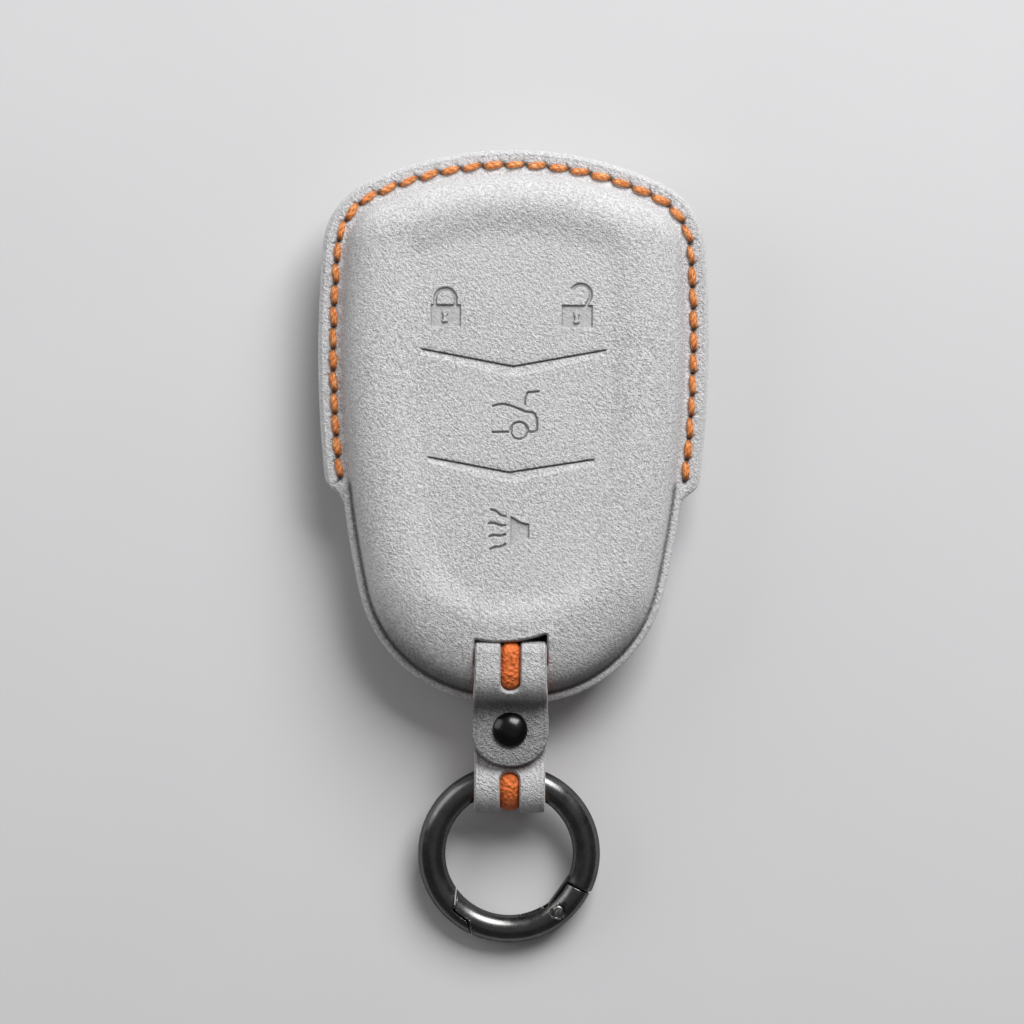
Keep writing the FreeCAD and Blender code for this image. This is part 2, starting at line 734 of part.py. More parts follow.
def loop_route():
    """Inner side of the loop: down through the cover, out at the back and round the ring."""
    throat = "seat_height - eye_throat_bend"
    lip = "seat_height + eye_lip_bend"
    circles, sizes = bends_of(
        ("slot_bend", -1, "parting", "crossing - slot_bend", None),
        ("slot_bend", -1, "-back_slot", "slot_bend + strap_depth + slot_clearance", None),
        ("back_layer_bend", 1, "-back_layer_foot", "seat_height - back_layer_bend", None),
        ("eye_throat_bend", 1, None, throat, beside_eye("eye_throat_bend", throat)),
        ("eye_radius", -1, "-eye_reach", "eye_axis_height", None),
        ("eye_lip_bend", 1, None, lip, beside_eye("eye_lip_bend", lip)))
    headings = belt(circles, 0, -2 * math.pi)
    start = (point(("parting", "crossing")), "parting", "0")
    return start, circles, sizes, headings, ("-loop_end", "seat_height")


def make_strip(name, route, inner, outer, width):
    """Strap layer: its side view padded to the strap's width, with the snap's hole."""
    body = new_body(name)
    profile = new_sketch(body, f"{name}_side", plane="YZ_Plane")
    draw_strip(profile, route, inner, outer)
    add_pad(body, profile, width, both_sides=True)
    hole = new_sketch(body, f"{name}_hole")
    draw_circle(hole, ("0", "-snap_reach"), "post_radius + post_clearance")
    add_pocket(body, hole)
    return body


def trim_tongue(body, name):
    """Cuts the tongue to its tapered plan with a rounded tip."""
    plan = new_sketch(body, f"{name}_plan")
    draw_rectangle(plan, f"tongue_width / 2 + {OVERCUT}", f"-tip_reach - {OVERCUT}",
                   f"-front_slot + {OVERCUT}")
    left_neck, right_neck = ("-tongue_neck / 2", "-front_slot"), ("tongue_neck / 2", "-front_slot")
    left_side, right_side = ("-tongue_width / 2", "-tip_arc_start"), ("tongue_width / 2", "-tip_arc_start")
    left = draw_line(plan, left_neck, left_side)
    right = draw_line(plan, right_side, right_neck)
    head = plan.addGeometry(Part.LineSegment(point(right_neck), point(left_neck)))
    tip = plan.addGeometry(Part.Arc(point(left_side), point(("0", "-tip_reach")), point(right_side)))
    drop = "(tip_reach - tip_arc_start)"
    dimension(plan, "Radius", tip, f"((tongue_width / 2) ^ 2 + {drop} ^ 2) / (2 * {drop})")
    for first, second in (((left, 2), (tip, 1)), ((tip, 2), (right, 1)), ((right, 2), (head, 1)),
                          ((head, 2), (left, 1))):
        join(plan, first, second)
    add_pocket(body, plan)


def make_strap():
    """Two layers of the tongue and two of the loop, with the windows in the outer ones."""
    tongue = tongue_route()
    loop = loop_route()
    tongue_face = make_strip("strap_tongue_face", tongue, "strap_lining", "strap_depth", "tongue_width")
    trim_tongue(tongue_face, "strap_tongue_face")
    tongue_lining = make_strip("strap_tongue_lining", tongue, "0", "strap_lining", "tongue_width")
    trim_tongue(tongue_lining, "strap_tongue_lining")
    loop_face = make_strip("strap_loop_face", loop, "strap_lining", "strap_depth", "strap_width")
    make_strip("strap_loop_lining", loop, "0", "strap_lining", "strap_width")
    half = "window_width / 2"
    window = new_sketch(tongue_face, "tongue_window")
    draw_slot(window, ("0", f"-tongue_window_end + {half}"), ("0", "-front_slot"), half)
    add_pocket(tongue_face, window)
    fold = new_sketch(loop_face, "loop_window")
    draw_slot(fold, ("0", f"-loop_window_start - {half}"),
              ("0", f"-eye_reach - eye_radius - strap_lining - strap_face - {OVERCUT}"), half)
    add_pocket(loop_face, fold)
    bend = new_sketch(loop_face, "slot_window", level="crossing + strap_depth")
    draw_rectangle(bend, half, "-front_slot_length - front_slot", f"-front_slot + {OVERCUT}")
    add_pocket(loop_face, bend, "slot_window_depth")


def make_turned(name, corners, reach, level):
    """Turned piece on the snap's axis, from the corners of its half section."""
    body = new_body(name)
    section = new_sketch(body, f"{name}_section", plane="XZ_Plane")
    draw_polygon(section, corners)
    add_revolution(body, section)
    body.setExpression("Placement.Base.y", bound(f"-({reach})"))
    body.setExpression("Placement.Base.z", bound(level))
    return body


def make_cap():
    """Domed cap with the post that is flared inside the socket."""
    body = new_body("snap_cap")
    section = new_sketch(body, "snap_cap_section", plane="XZ_Plane")
    foot = "-strap_depth - socket_plate"
    base = f"{foot} - flare_thickness"
    corners = [("0", "cap_height"), ("0", base), ("flare_radius", base), ("flare_radius", foot),
               ("post_radius", foot), ("post_radius", "0"), ("cap_radius", "0"), ("cap_radius", "cap_rim")]
    lines = []
    for here, there in zip(corners, corners[1:]):
        lines.append(section.addGeometry(Part.LineSegment(point(here), point(there))))
        pin_point(section, lines[-1], 1, here)
    pin_point(section, lines[-1], 2, corners[-1])
    crown = "(cap_height - cap_rim)"
    radius = f"(cap_radius ^ 2 + {crown} ^ 2) / (2 * {crown})"
    middle = point(("0", f"cap_height - {radius}"))
    rim = direction(middle, point(corners[-1]))
    dome = draw_arc(section, middle, number(radius), rim, math.pi / 2, radius)
    for here, there in zip(lines, lines[1:]):
        join(section, (here, 2), (there, 1))
    join(section, (lines[-1], 2), (dome, 1))
    join(section, (dome, 2), (lines[0], 1))
    add_revolution(body, section)
    body.setExpression("Placement.Base.y", bound("-snap_reach"))
    body.setExpression("Placement.Base.z", bound("tongue_seat + strap_depth"))


def make_snap():
    """Cap, socket and split wire on the tongue, stud and rivet on the loop."""
    make_cap()
    lid = "-socket_plate"
    mouth = "stud_flange + socket_clearance - snap_gap"
    hole = "post_radius + post_clearance"
    make_turned("snap_socket", [(hole, "0"), ("socket_radius", "0"), ("socket_radius", mouth),
                                ("socket_bore", mouth), ("socket_bore", lid), (hole, lid)],
                "snap_reach", "tongue_seat")
    top = "stud_flange + stud_rise"
    belly = "stud_flange + socket_clearance + snap_wire + bulb_gap"
    bore_top = f"{top} - stud_wall"
    make_turned("snap_stud", [(hole, "0"), ("stud_flange_radius", "0"), ("stud_flange_radius", "stud_flange"),
                              ("stud_neck", "stud_flange"), ("stud_neck", f"{belly} - socket_clearance"),
                              ("stud_bulb", belly), ("stud_neck", top), ("0", top), ("0", bore_top),
                              (hole, bore_top)],
                "snap_reach", "seat_height + strap_depth")
    stack = "2 * strap_depth"
    make_turned("snap_post", [("0", "-rivet_head"), ("rivet_head_radius - rivet_head", "-rivet_head"),
                              ("rivet_head_radius", "-rivet_head / 2"), ("rivet_head_radius", "0"),
                              ("post_radius", "0"), ("post_radius", f"{stack} + {bore_top} - post_clearance"),
                              ("0", f"{stack} + {bore_top} - post_clearance")],
                "snap_reach", "seat_height - strap_depth")
    make_snap_wire("seat_height + strap_depth + stud_flange + socket_clearance + snap_wire / 2")


def make_snap_wire(level):
    """Split wire held at its round ends in the socket, with straight sides that grip the stud's neck."""
    body = new_body("snap_spring")
    bend = "(snap_wire_inner + snap_wire / 2)"
    reach = f"(socket_bore + snap_wire_grip - snap_wire / 2 - {bend})"
    gap = "snap_wire_gap / 2"
    path = new_sketch(body, "snap_spring_path")
    quarter = math.pi / 2
    corners = [(gap, f"-{bend}"), (reach, f"-{bend}"), (reach, bend), (f"-{reach}", bend),
               (f"-{reach}", f"-{bend}"), (f"-{gap}", f"-{bend}")]
    first, top, last = (path.addGeometry(Part.LineSegment(point(here), point(there)))
                        for here, there in zip(corners[::2], corners[1::2]))
    right = draw_arc(path, point((reach, "0")), number(bend), -quarter, quarter, bend)
    left = draw_arc(path, point((f"-{reach}", "0")), number(bend), quarter, -quarter, bend)
    chain = (first, right, top, left, last)
    for here, there in zip(chain, chain[1:]):
        path.addConstraint(Sketcher.Constraint("Tangent", here, 2, there, 1))
    for index, end, place in ((first, 1, corners[0]), (right, 3, (reach, "0")), (left, 3, (f"-{reach}", "0")),
                              (last, 2, corners[-1])):
        pin_point(path, index, end, place)
    section = new_sketch(body, "snap_spring_section", plane="YZ_Plane", level=gap)
    draw_circle(section, (f"-{bend}", "0"), "snap_wire / 2")
    wire = body.newObject("PartDesign::AdditivePipe", "snap_spring_wire")
    wire.Profile = section
    wire.Spine = path
    body.setExpression("Placement.Base.y", bound("-snap_reach"))
    body.setExpression("Placement.Base.z", bound(level))


def on_ring(radius, angle):
    """Place on the ring's plane, at an angle in degrees clockwise from its right side."""
    return f"({radius}) * cos({angle})", f"-({radius}) * sin({angle})"


# Hinge of the gate on the ring's plane
PIN = on_ring("pin_reach", "pin_angle")


def place_on_ring(body):
    """Sets a piece that is drawn on the ring's own centre into the strap's eye."""
    body.Placement = Placement(Vector(0, 0, 0), Rotation(Vector(1, 0, 0), 1))
    body.setExpression("Placement.Rotation.Angle", bound("ring_tilt"))
    body.setExpression("Placement.Base.y", bound("-eye_reach - (ring_mean - ring_sag) * cos(ring_tilt)"))
    body.setExpression("Placement.Base.z", bound("eye_axis_height - (ring_mean - ring_sag) * sin(ring_tilt)"))


def turn_tube(body, name):
    """Turns the ring's round tube."""
    section = new_sketch(body, f"{name}_tube", plane="XZ_Plane")
    draw_circle(section, ("ring_mean", "0"), "ring_tube / 2")
    add_revolution(body, section)


def draw_sweep(sketch, radius, begin, end):
    """Adds an arc about the ring's centre between two clockwise angles."""
    middle = f"(({begin}) + ({end})) / 2"
    arc = Part.Arc(point(on_ring(radius, begin)), point(on_ring(radius, middle)), point(on_ring(radius, end)))
    index = sketch.addGeometry(arc)
    dimension(sketch, "Radius", index, radius)
    backwards = number(f"({end}) - ({begin})") > 0
    return (index, 2, 1) if backwards else (index, 1, 2)


def draw_sectors(sketch, arcs):
    """Draws a closed outline of arcs about the ring's centre, joined by straight cuts."""
    sweeps = [draw_sweep(sketch, *arc) for arc in arcs]
    for count, (radius, begin, end) in enumerate(arcs):
        following = (count + 1) % len(arcs)
        cut = draw_line(sketch, on_ring(radius, end), on_ring(*arcs[following][:2]))
        join(sketch, (sweeps[count][0], sweeps[count][2]), (cut, 1))
        join(sketch, (cut, 2), sweeps[following][:2])


def draw_gate_span(sketch, slack):
    """Draws the gate's share of the ring, widened by a slack: hinge cut, then the stepped latch cut.

    Both faces of the latch lean across the gate's swing, so that its nose comes away freely.
    """
    spread = f"({slack}) / ring_mean * 180 / pi"
    hinge = f"(hinge_angle - {spread})"
    nose = f"(nose_angle + {spread})"
    heel = f"(step_angle + {spread})"
    draw_sectors(sketch, [(f"ring_outer + {OVERCUT}", hinge, f"{heel} - heel_lean"),
                          (f"ring_mean + step_offset + {slack}", heel, nose),
                          (f"ring_outer - ring_tube - {OVERCUT}", f"{nose} + nose_lean", hinge)])


def make_ring_body():
    """Fixed part of the ring, with the lug that the gate turns on."""
    body = new_body("ring_body")
    turn_tube(body, "ring_body")
    bay = new_sketch(body, "gate_bay")
    draw_gate_span(bay, "gate_gap / 2")
    add_pocket(body, bay)
    lug = new_sketch(body, "hinge_lug")
    draw_slot(lug, on_ring("ring_mean", "lug_root_angle"), PIN, "lug_radius")
    add_pad(body, lug, "lug_thickness", both_sides=True)
    bore = new_sketch(body, "lug_bore")
    draw_circle(bore, PIN, "pin_radius + pin_clearance")
    add_pocket(body, bore)
    place_on_ring(body)


def make_gate():
    """Gate: forked over the lug, grooved for its leaf spring and stepped at its nose."""
    body = new_body("ring_gate")
    turn_tube(body, "ring_gate")
    span = new_sketch(body, "gate_span")
    frame = f"ring_outer + 2 * {OVERCUT}"
    draw_rectangle(span, frame, f"-({frame})", frame)
    draw_gate_span(span, "-gate_gap / 2")
    add_pocket(body, span)
    inside = f"ring_outer - ring_tube - {OVERCUT}"
    fork = new_sketch(body, "gate_fork")
    draw_sectors(fork, [(frame, "lug_root_angle", "fork_end"), (inside, "fork_end", "lug_root_angle")])
    add_slice(body, fork, "lug_thickness + 2 * fork_clearance")
    groove = new_sketch(body, "spring_groove")
    floor = "leaf_radius + spring_thickness"
    begin = "(fork_end - fork_room)"
    end = "(spring_end_angle + spring_clearance)"
    draw_sectors(groove, [(floor, begin, end), (inside, end, begin)])
    add_slice(body, groove, "spring_width + 2 * spring_clearance")
    bore = new_sketch(body, "cheek_bore")
    draw_circle(bore, PIN, "pin_radius")
    add_pocket(body, bore)
    for side, sign, upper in (("upper", "1", True), ("lower", "-1", False)):
        recess = new_sketch(body, f"{side}_recess", level=f"{sign} * cheek_height")
        draw_circle(recess, PIN, "pin_recess_radius")
        add_pocket(body, recess, "ring_tube", reverse=upper)
    place_on_ring(body)


def make_pin():
    """Hinge pin, peened over in both cheeks' recesses."""
    body = new_body("gate_pin")
    section = new_sketch(body, "gate_pin_section", plane="XZ_Plane", level=f"-({PIN[1]})")
    section.setExpression("AttachmentOffset.Base.x", bound(PIN[0]))
    top = "(cheek_height + pin_head)"
    draw_polygon(section, [("0", f"-{top}"), ("pin_radius", f"-{top}"), ("pin_head_radius", "-cheek_height"),
                           ("pin_radius", "-cheek_height"), ("pin_radius", "cheek_height"),
                           ("pin_head_radius", "cheek_height"), ("pin_radius", top), ("0", top)])
    add_revolution(body, section)
    place_on_ring(body)


def make_gate_spring():
    """Leaf in the gate's groove, from the groove's end to the lug."""
    body = new_body("gate_spring")
    leaf = new_sketch(body, "gate_spring_leaf")
    start = "(fork_end - spring_reach)"
    draw_sectors(leaf, [("leaf_radius + spring_thickness", start, "spring_end_angle"),
                        ("leaf_radius", "spring_end_angle", start)])
    add_pad(body, leaf, "spring_width", both_sides=True)
    place_on_ring(body)


front = make_panel("front_panel", 1, "front_rise", "front_slot", "front_slot_length")
dish_face(front)
make_panel("back_panel", -1, "back_rise", "back_slot - back_slot_length", "back_slot_length")
make_stitches()
make_strap()
make_snap()
make_ring_body()
make_gate()
make_pin()
make_gate_spring()
doc.recompute()

for item in doc.Objects:
    if "Invalid" in item.State or "Error" in item.State:
        raise RuntimeError(f"{item.Name} failed: {item.State}")
for part in sub_parts:
    if part.Shape.isNull() or not part.Shape.isValid():
        raise RuntimeError(f"{part.Label} has no valid shape")

os.makedirs("parts", exist_ok=True)
for part in sub_parts:
    part.Shape.exportStep(f"parts/{part.Label}.step")
    box = part.Shape.BoundBox
    print(f"{part.Label}: {len(part.Shape.Solids)} solids, {part.Shape.Volume:.1f} mm3, "
          f"x {box.XMin:.2f} {box.XMax:.2f}, y {box.YMin:.2f} {box.YMax:.2f}, z {box.ZMin:.2f} {box.ZMax:.2f}")
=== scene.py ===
"""Looks of a moulded suede key fob cover with a sewn edge, a snapped strap and a gated ring."""
import math

import bmesh
import bpy
import numpy as np
from bpy.props import FloatProperty, FloatVectorProperty, IntProperty, PointerProperty
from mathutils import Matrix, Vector
from mathutils.bvhtree import BVHTree
from mathutils.geometry import delaunay_2d_cdt
from mathutils.kdtree import KDTree


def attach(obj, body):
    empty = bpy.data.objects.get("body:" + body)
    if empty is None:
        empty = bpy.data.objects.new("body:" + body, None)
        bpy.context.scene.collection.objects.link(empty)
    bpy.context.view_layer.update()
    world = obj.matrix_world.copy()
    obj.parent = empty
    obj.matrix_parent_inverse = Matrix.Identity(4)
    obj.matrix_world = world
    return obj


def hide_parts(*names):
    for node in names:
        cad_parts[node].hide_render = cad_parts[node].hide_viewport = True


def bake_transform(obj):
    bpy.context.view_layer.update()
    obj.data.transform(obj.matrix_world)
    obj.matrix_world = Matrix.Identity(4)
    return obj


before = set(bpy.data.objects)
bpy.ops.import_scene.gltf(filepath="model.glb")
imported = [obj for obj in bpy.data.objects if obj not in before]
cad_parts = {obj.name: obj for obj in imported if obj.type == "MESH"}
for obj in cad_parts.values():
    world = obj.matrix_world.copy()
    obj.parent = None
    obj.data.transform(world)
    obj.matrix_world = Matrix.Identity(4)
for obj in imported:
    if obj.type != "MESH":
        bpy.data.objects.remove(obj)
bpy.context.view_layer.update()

bl_info = {
    "name": "Key fob cover",
    "version": (1, 0, 0),
    "blender": (4, 5, 0),
    "location": "View3D > Sidebar > Fob cover",
    "description": "Builds the looks of a moulded suede key fob cover around its packed model",
    "category": "Object",
}

# The shape code works in millimetres, and meshes and property groups hold metres
MILLI = 0.001
PER_METRE = 1000
# Outline of the bulge where it meets the flange
BULGE_TOP = 41.0
BULGE_BOTTOM = 43.7
BULGE_HALF_WIDTH = 27.7
WIDEST_HEIGHT = 13.5
TOP_ARC = 52.6
CORNER_ARC = 8.4
SIDE_ARC = 186.0
HEEL_ARC = 21.6
BOTTOM_ARC = 38.1
# Flange, lip and the ears between them
SEAM_FLANGE = 4.2
MOUTH_LIP = 1.6
EAR_ROUND = 3.5
EAR_DROP = 8.2
SEAM_HEIGHT = 9.1
# Stitch line: its place inside the flange's edge, its groove, its run past the ears and the band it needs
SEAM_INSET = 2.5
SEAM_GROOVE = 0.16
SEAM_TAIL = 1.0
SEAM_BAND = 1.05
SEAM_END = -EAR_DROP - 2.2
# Line creased along the flange's edge, and the band of rings that follows the edge
EDGE_LINE = 1.05
EDGE_BAND = 1.3
EDGE_RINGS = (0.05, 0.15, 0.3, 0.5, 0.72, 0.92, 1.05, 1.18)
# Slots as (lower edge, upper edge) along the cover, with their half width, corners and rings of points
FRONT_SLOT = (-39.0, -34.9)
BACK_SLOT = (-40.4, -37.8)
SLOT_HALF_WIDTH = 5.85
SLOT_CORNER = 0.45
SLOT_RINGS = (0.06, 0.16, 0.28, 0.42)
# Insets of the dish at the sides, the top and the strap end
DISH_INSETS = (9.5, 8.3, 14.0)
# Boxes on the plan as two corners: the panel, its pressed face, and where the points of lines and marks go
PANEL_BOX = ((-32.5, -46.0), (32.5, 46.0))
PRESSED_BOX = ((-16.5, -22.0), (16.5, 25.0))
FIELD_BOX = ((-16.4, -21.5), (16.4, 24.5))
LINE_BOX = ((-16.4, -8.4), (16.4, 13.4))
MARK_BOX = ((-14.6, -21.0), (14.0, 24.2))
MARK_SEARCH = ((-14.6, -21.0), (14.6, 24.2))
# Depths below a pressed line that its sunk slope takes in, and those of the line itself
SLOPE_SPAN = (-0.6, 1.9)
LINE_SPAN = (-0.3, 0.36)
# A distance past which nothing is near, and the pitch of evenly packed rows for points a unit apart
FAR = 9.0
ROW_PITCH = 0.866
# Strap bends as (along, up, radius, turn) from the tongue's tip to the loop's end
STRAP_BENDS = (
    (-52.4, -5.3, 16.0, -1), (-46.6, 14.2, 3.5, 1), (-39.6, 13.0635, 3.5, -1), (-36.85, 15.9635, 0.6, -1),
    (-40.4, 2.35, 0.6, -1), (-46.7, 5.4, 2.3, 1), (-51.5854, 4.2, 3.5, 1), (-58.35, 6.0, 3.5, -1),
    (-53.86, 10.7, 3.0, 1),
)
# Places on the strap: its tip, foot, end and parting, the snap and the windows, and its rings of points
TIP_REACH = 55.5
TIP_SHOULDER = 50.0
TIP_HALF_WIDTH = 6.3
FOOT_REACH = -45.3
LOOP_END = (-46.3, 7.7)
PARTING = (-36.85, 16.5635)
TONGUE_TAIL = 6.5
BACK_START = 10
SNAP_REACH = 49.4
SNAP_HOLE = 0.85
TONGUE_WINDOW = 43.2
LOOP_WINDOW = 56.2
STRAP_RINGS = (0.06, 0.14, 0.24, 0.38)
# Metal: distance at which loose corners join, width of broken edges, and in degrees what counts as an edge
# on the cap, on the ring's pieces and in the shading
MERGE = 2e-6
EDGE_BREAK = 0.00014
CAP_EDGES = 40
RING_EDGES = 38
SHARP_ANGLE = 60
# Lamps as (name, place, width, share of the key's power), the floor, and the camera's sensor
LAMPS = (("key", (0.32, 0.66, 0.64), 0.6, 1.0), ("over", (0.1, 0.2, 0.85), 1.6, 0.08),
         ("side", (-0.64, 0.25, 0.34), 0.5, 0.12))
FLOOR_HALF = 2
FLOOR_LEVEL = -0.0002
SENSOR = 36.0


class CoverSizes(bpy.types.PropertyGroup):
    """Section and finish of the two moulded panels."""
    leather: FloatProperty(name="Leather", description="Thickness of each panel", default=0.0016,
                           unit="LENGTH")
    rise: FloatProperty(name="Rise", description="Height of each bulge above its flange",
                        default=0.0075, unit="LENGTH")
    side_round: FloatProperty(name="Side round", description="Width of the rounded wall at the sides",
                              default=0.007, unit="LENGTH")
    top_round: FloatProperty(name="Top round", description="Width of the rounded wall at the top",
                             default=0.0055, unit="LENGTH")
    end_round: FloatProperty(name="End round", description="Width of the rounded wall at the strap end",
                             default=0.014, unit="LENGTH")
    dish_depth: FloatProperty(name="Dish depth", description="How far the front face is sunk",
                              default=0.0009, unit="LENGTH")
    mark_depth: FloatProperty(name="Mark depth", description="Depth of the pressed marks",
                              default=0.00045, unit="LENGTH")
    edge_round: FloatProperty(name="Edge round", description="Radius of the burnished cut edge",
                              default=0.0007, unit="LENGTH")
    suede: FloatVectorProperty(name="Suede", description="Colour of the nap", subtype="COLOR", size=4,
                               default=(0.68, 0.675, 0.685, 1.0))
    # Colour that painted shade darkens the nap to, in creases, holes, grooves and shadowed parts
    shade_colour: FloatVectorProperty(name="Crease", description="Colour deep in creases and holes",
                                subtype="COLOR", size=4, default=(0.085, 0.083, 0.085, 1.0))


class StitchSizes(bpy.types.PropertyGroup):
    """Saddle stitches round the sewn flange."""
    count: IntProperty(name="Count", description="Stitches on each face", default=41, min=2)
    length: FloatProperty(name="Length", description="Length of one stitch", default=0.0035,
                          unit="LENGTH")
    width: FloatProperty(name="Width", description="Width of the thread", default=0.00118,
                         unit="LENGTH")
    slant: FloatProperty(name="Slant", description="Turn of each stitch from the seam",
                         default=math.radians(7), subtype="ANGLE")
    wander: FloatProperty(name="Wander", description="Largest uneven turn of a stitch",
                          default=math.radians(4.5), subtype="ANGLE")
    seed: IntProperty(name="Seed", description="Seed of the unevenness", default=7)
    thread: FloatVectorProperty(name="Thread", description="Colour of the waxed thread",
                                subtype="COLOR", size=4, default=(0.78, 0.23, 0.045, 1.0))


class StrapSizes(bpy.types.PropertyGroup):
    """Two-layer strap with a window that shows its lining."""
    width: FloatProperty(name="Width", description="Width of the loop", default=0.0116, unit="LENGTH")
    neck: FloatProperty(name="Neck", description="Width of the tongue at the slot", default=0.0116,
                        unit="LENGTH")
    flare: FloatProperty(name="Flare", description="Widest part of the tongue", default=0.0126,
                         unit="LENGTH")
    face: FloatProperty(name="Face", description="Thickness of the suede layer", default=0.0008,
                        unit="LENGTH")
    lining: FloatProperty(name="Lining", description="Thickness of the lining", default=0.0007,
                          unit="LENGTH")
    window: FloatProperty(name="Window", description="Width of the windows", default=0.0032,
                          unit="LENGTH")
    edge_round: FloatProperty(name="Edge round", description="Radius of the strap's cut edges",
                              default=0.00035, unit="LENGTH")
    leather: FloatVectorProperty(name="Lining colour", description="Colour of the lining leather",
                                 subtype="COLOR", size=4, default=(0.83, 0.19, 0.045, 1.0))


class MetalLook(bpy.types.PropertyGroup):
    """Finish of the ring and the snap."""
    gunmetal: FloatVectorProperty(name="Gunmetal", description="Colour of the ring's plating",
                                  subtype="COLOR", size=4, default=(0.135, 0.134, 0.133, 1.0))
    cap: FloatVectorProperty(name="Cap", description="Colour of the snap's cap", subtype="COLOR",
                             size=4, default=(0.022, 0.022, 0.022, 1.0))
    steel: FloatVectorProperty(name="Steel", description="Colour of springs and pin", subtype="COLOR",
                               size=4, default=(0.3, 0.3, 0.29, 1.0))
    roughness: FloatProperty(name="Roughness", description="Roughness of the ring's satin plating",
                             default=0.26, subtype="FACTOR", min=0.0, max=1.0)


class StageLook(bpy.types.PropertyGroup):
    """Camera, lamps and floor."""
    height: FloatProperty(name="Camera height", description="Camera above the seam", default=0.6,
                          unit="LENGTH")
    framed: FloatProperty(name="Framed width",
                          description="Width that the picture takes in at the seam", default=0.1675,
                          unit="LENGTH")
    centre: FloatProperty(name="Centre", description="Place along the cover at the picture's middle",
                          default=-0.01395, unit="LENGTH")
    roll: FloatProperty(name="Roll", description="Turn of the camera about its view",
                        default=math.radians(0.5), subtype="ANGLE")
    key: FloatProperty(name="Key", description="Power of the lamp above the cover's top", default=11.9,
                       unit="POWER")
    fill: FloatProperty(name="Fill", description="Strength of the surrounding light", default=0.08)
    floor: FloatVectorProperty(name="Floor", description="Colour of the floor", subtype="COLOR", size=4,
                               default=(0.68, 0.68, 0.69, 1.0))


# Plan curves

def tangent_centre(first, first_radius, second, second_radius, radius, upper):
    """Centre of an arc that lies inside two circles and touches both."""
    reach = first_radius - radius
    other = second_radius - radius
    line = second - first
    apart = math.hypot(*line)
    along = (reach ** 2 - other ** 2 + apart ** 2) / (2 * apart)
    across = math.sqrt(reach ** 2 - along ** 2)
    line = line / apart
    normal = np.array((-line[1], line[0]))
    candidates = [first + line * along + normal * across, first + line * along - normal * across]
    return max(candidates, key=lambda place: upper * place[1])


def heading_to(start, end):
    """Angle from one point to another."""
    return math.atan2(end[1] - start[1], end[0] - start[0])


def bulge_frame(side=0.0, top=0.0, end=0.0):
    """Radii, centres and joints of the bulge outline drawn in by three insets."""
    radius = {"top": TOP_ARC - top, "corner": CORNER_ARC - 0.45 * side, "side": SIDE_ARC - side,
              "heel": HEEL_ARC - 0.9 * side, "bottom": BOTTOM_ARC - 0.45 * end}
    centre = {"top": np.array((0.0, BULGE_TOP - TOP_ARC)),
              "bottom": np.array((0.0, end - BULGE_BOTTOM + radius["bottom"])),
              "side": np.array((BULGE_HALF_WIDTH - SIDE_ARC, WIDEST_HEIGHT))}
    centre["corner"] = tangent_centre(centre["top"], radius["top"], centre["side"], radius["side"],
                                      radius["corner"], 1)
    centre["heel"] = tangent_centre(centre["side"], radius["side"], centre["bottom"], radius["bottom"],
                                    radius["heel"], -1)
    joints = {"top_corner": heading_to(centre["top"], centre["corner"]),
              "corner_side": heading_to(centre["side"], centre["corner"]),
              "side_heel": heading_to(centre["side"], centre["heel"]),
              "heel_bottom": heading_to(centre["bottom"], centre["heel"])}
    return radius, centre, joints


def both_hands(right, upper, lower):
    """Closed chain of arcs (centre, radius, begin, end, turn) from its right half, top and bottom."""
    left = [(middle * np.array((-1, 1)), size, math.pi - end, math.pi - begin, turn)
            for middle, size, begin, end, turn in reversed(right)]
    return right + [upper] + left + [lower]


def end_arcs(radius, centre, joints, top=0.0, bottom=0.0):
    """Top arc and bottom arc of the outline, each widened by a width."""
    shoulder = joints["top_corner"]
    foot = joints["heel_bottom"]
    return ((centre["top"], radius["top"] + top, shoulder, math.pi - shoulder, 1),
            (centre["bottom"], radius["bottom"] + bottom, -math.pi - foot, foot, 1))


def bulge_arcs(side=0.0, top=0.0, end=0.0):
    """Arcs of the bulge outline drawn in by three insets."""
    radius, centre, joints = bulge_frame(side, top, end)
    right = [(centre["heel"], radius["heel"], joints["heel_bottom"], joints["side_heel"], 1),
             (centre["side"], radius["side"], joints["side_heel"], joints["corner_side"], 1),
             (centre["corner"], radius["corner"], joints["corner_side"], joints["top_corner"], 1)]
    return both_hands(right, *end_arcs(radius, centre, joints))


def flange_arcs():
    """Arcs of the cut edge: sewn flange above the ears, narrow lip below them."""
    radius, centre, joints = bulge_frame()
    hub = centre["side"]
    inner = radius["side"] + SEAM_FLANGE - EAR_ROUND
    outer = radius["side"] + MOUTH_LIP + EAR_ROUND
    start = math.asin((-EAR_DROP - hub[1]) / (radius["side"] + SEAM_FLANGE))
    swing = math.acos((inner ** 2 + outer ** 2 - 4 * EAR_ROUND ** 2) / (2 * inner * outer))
    crown = hub + inner * np.array((math.cos(start), math.sin(start)))
    hollow = hub + outer * np.array((math.cos(start - swing), math.sin(start - swing)))
    meet = heading_to(hollow, crown)
    right = [(centre["heel"], radius["heel"] + MOUTH_LIP, joints["heel_bottom"], joints["side_heel"], 1),
             (hub, radius["side"] + MOUTH_LIP, joints["side_heel"], start - swing, 1),
             (hollow, EAR_ROUND, meet, start - swing + math.pi, -1),
             (crown, EAR_ROUND, meet - math.pi, start, 1),
             (hub, radius["side"] + SEAM_FLANGE, start, joints["corner_side"], 1),
             (centre["corner"], radius["corner"] + SEAM_FLANGE, joints["corner_side"],
              joints["top_corner"], 1)]
    return both_hands(right, *end_arcs(radius, centre, joints, SEAM_FLANGE, MOUTH_LIP))


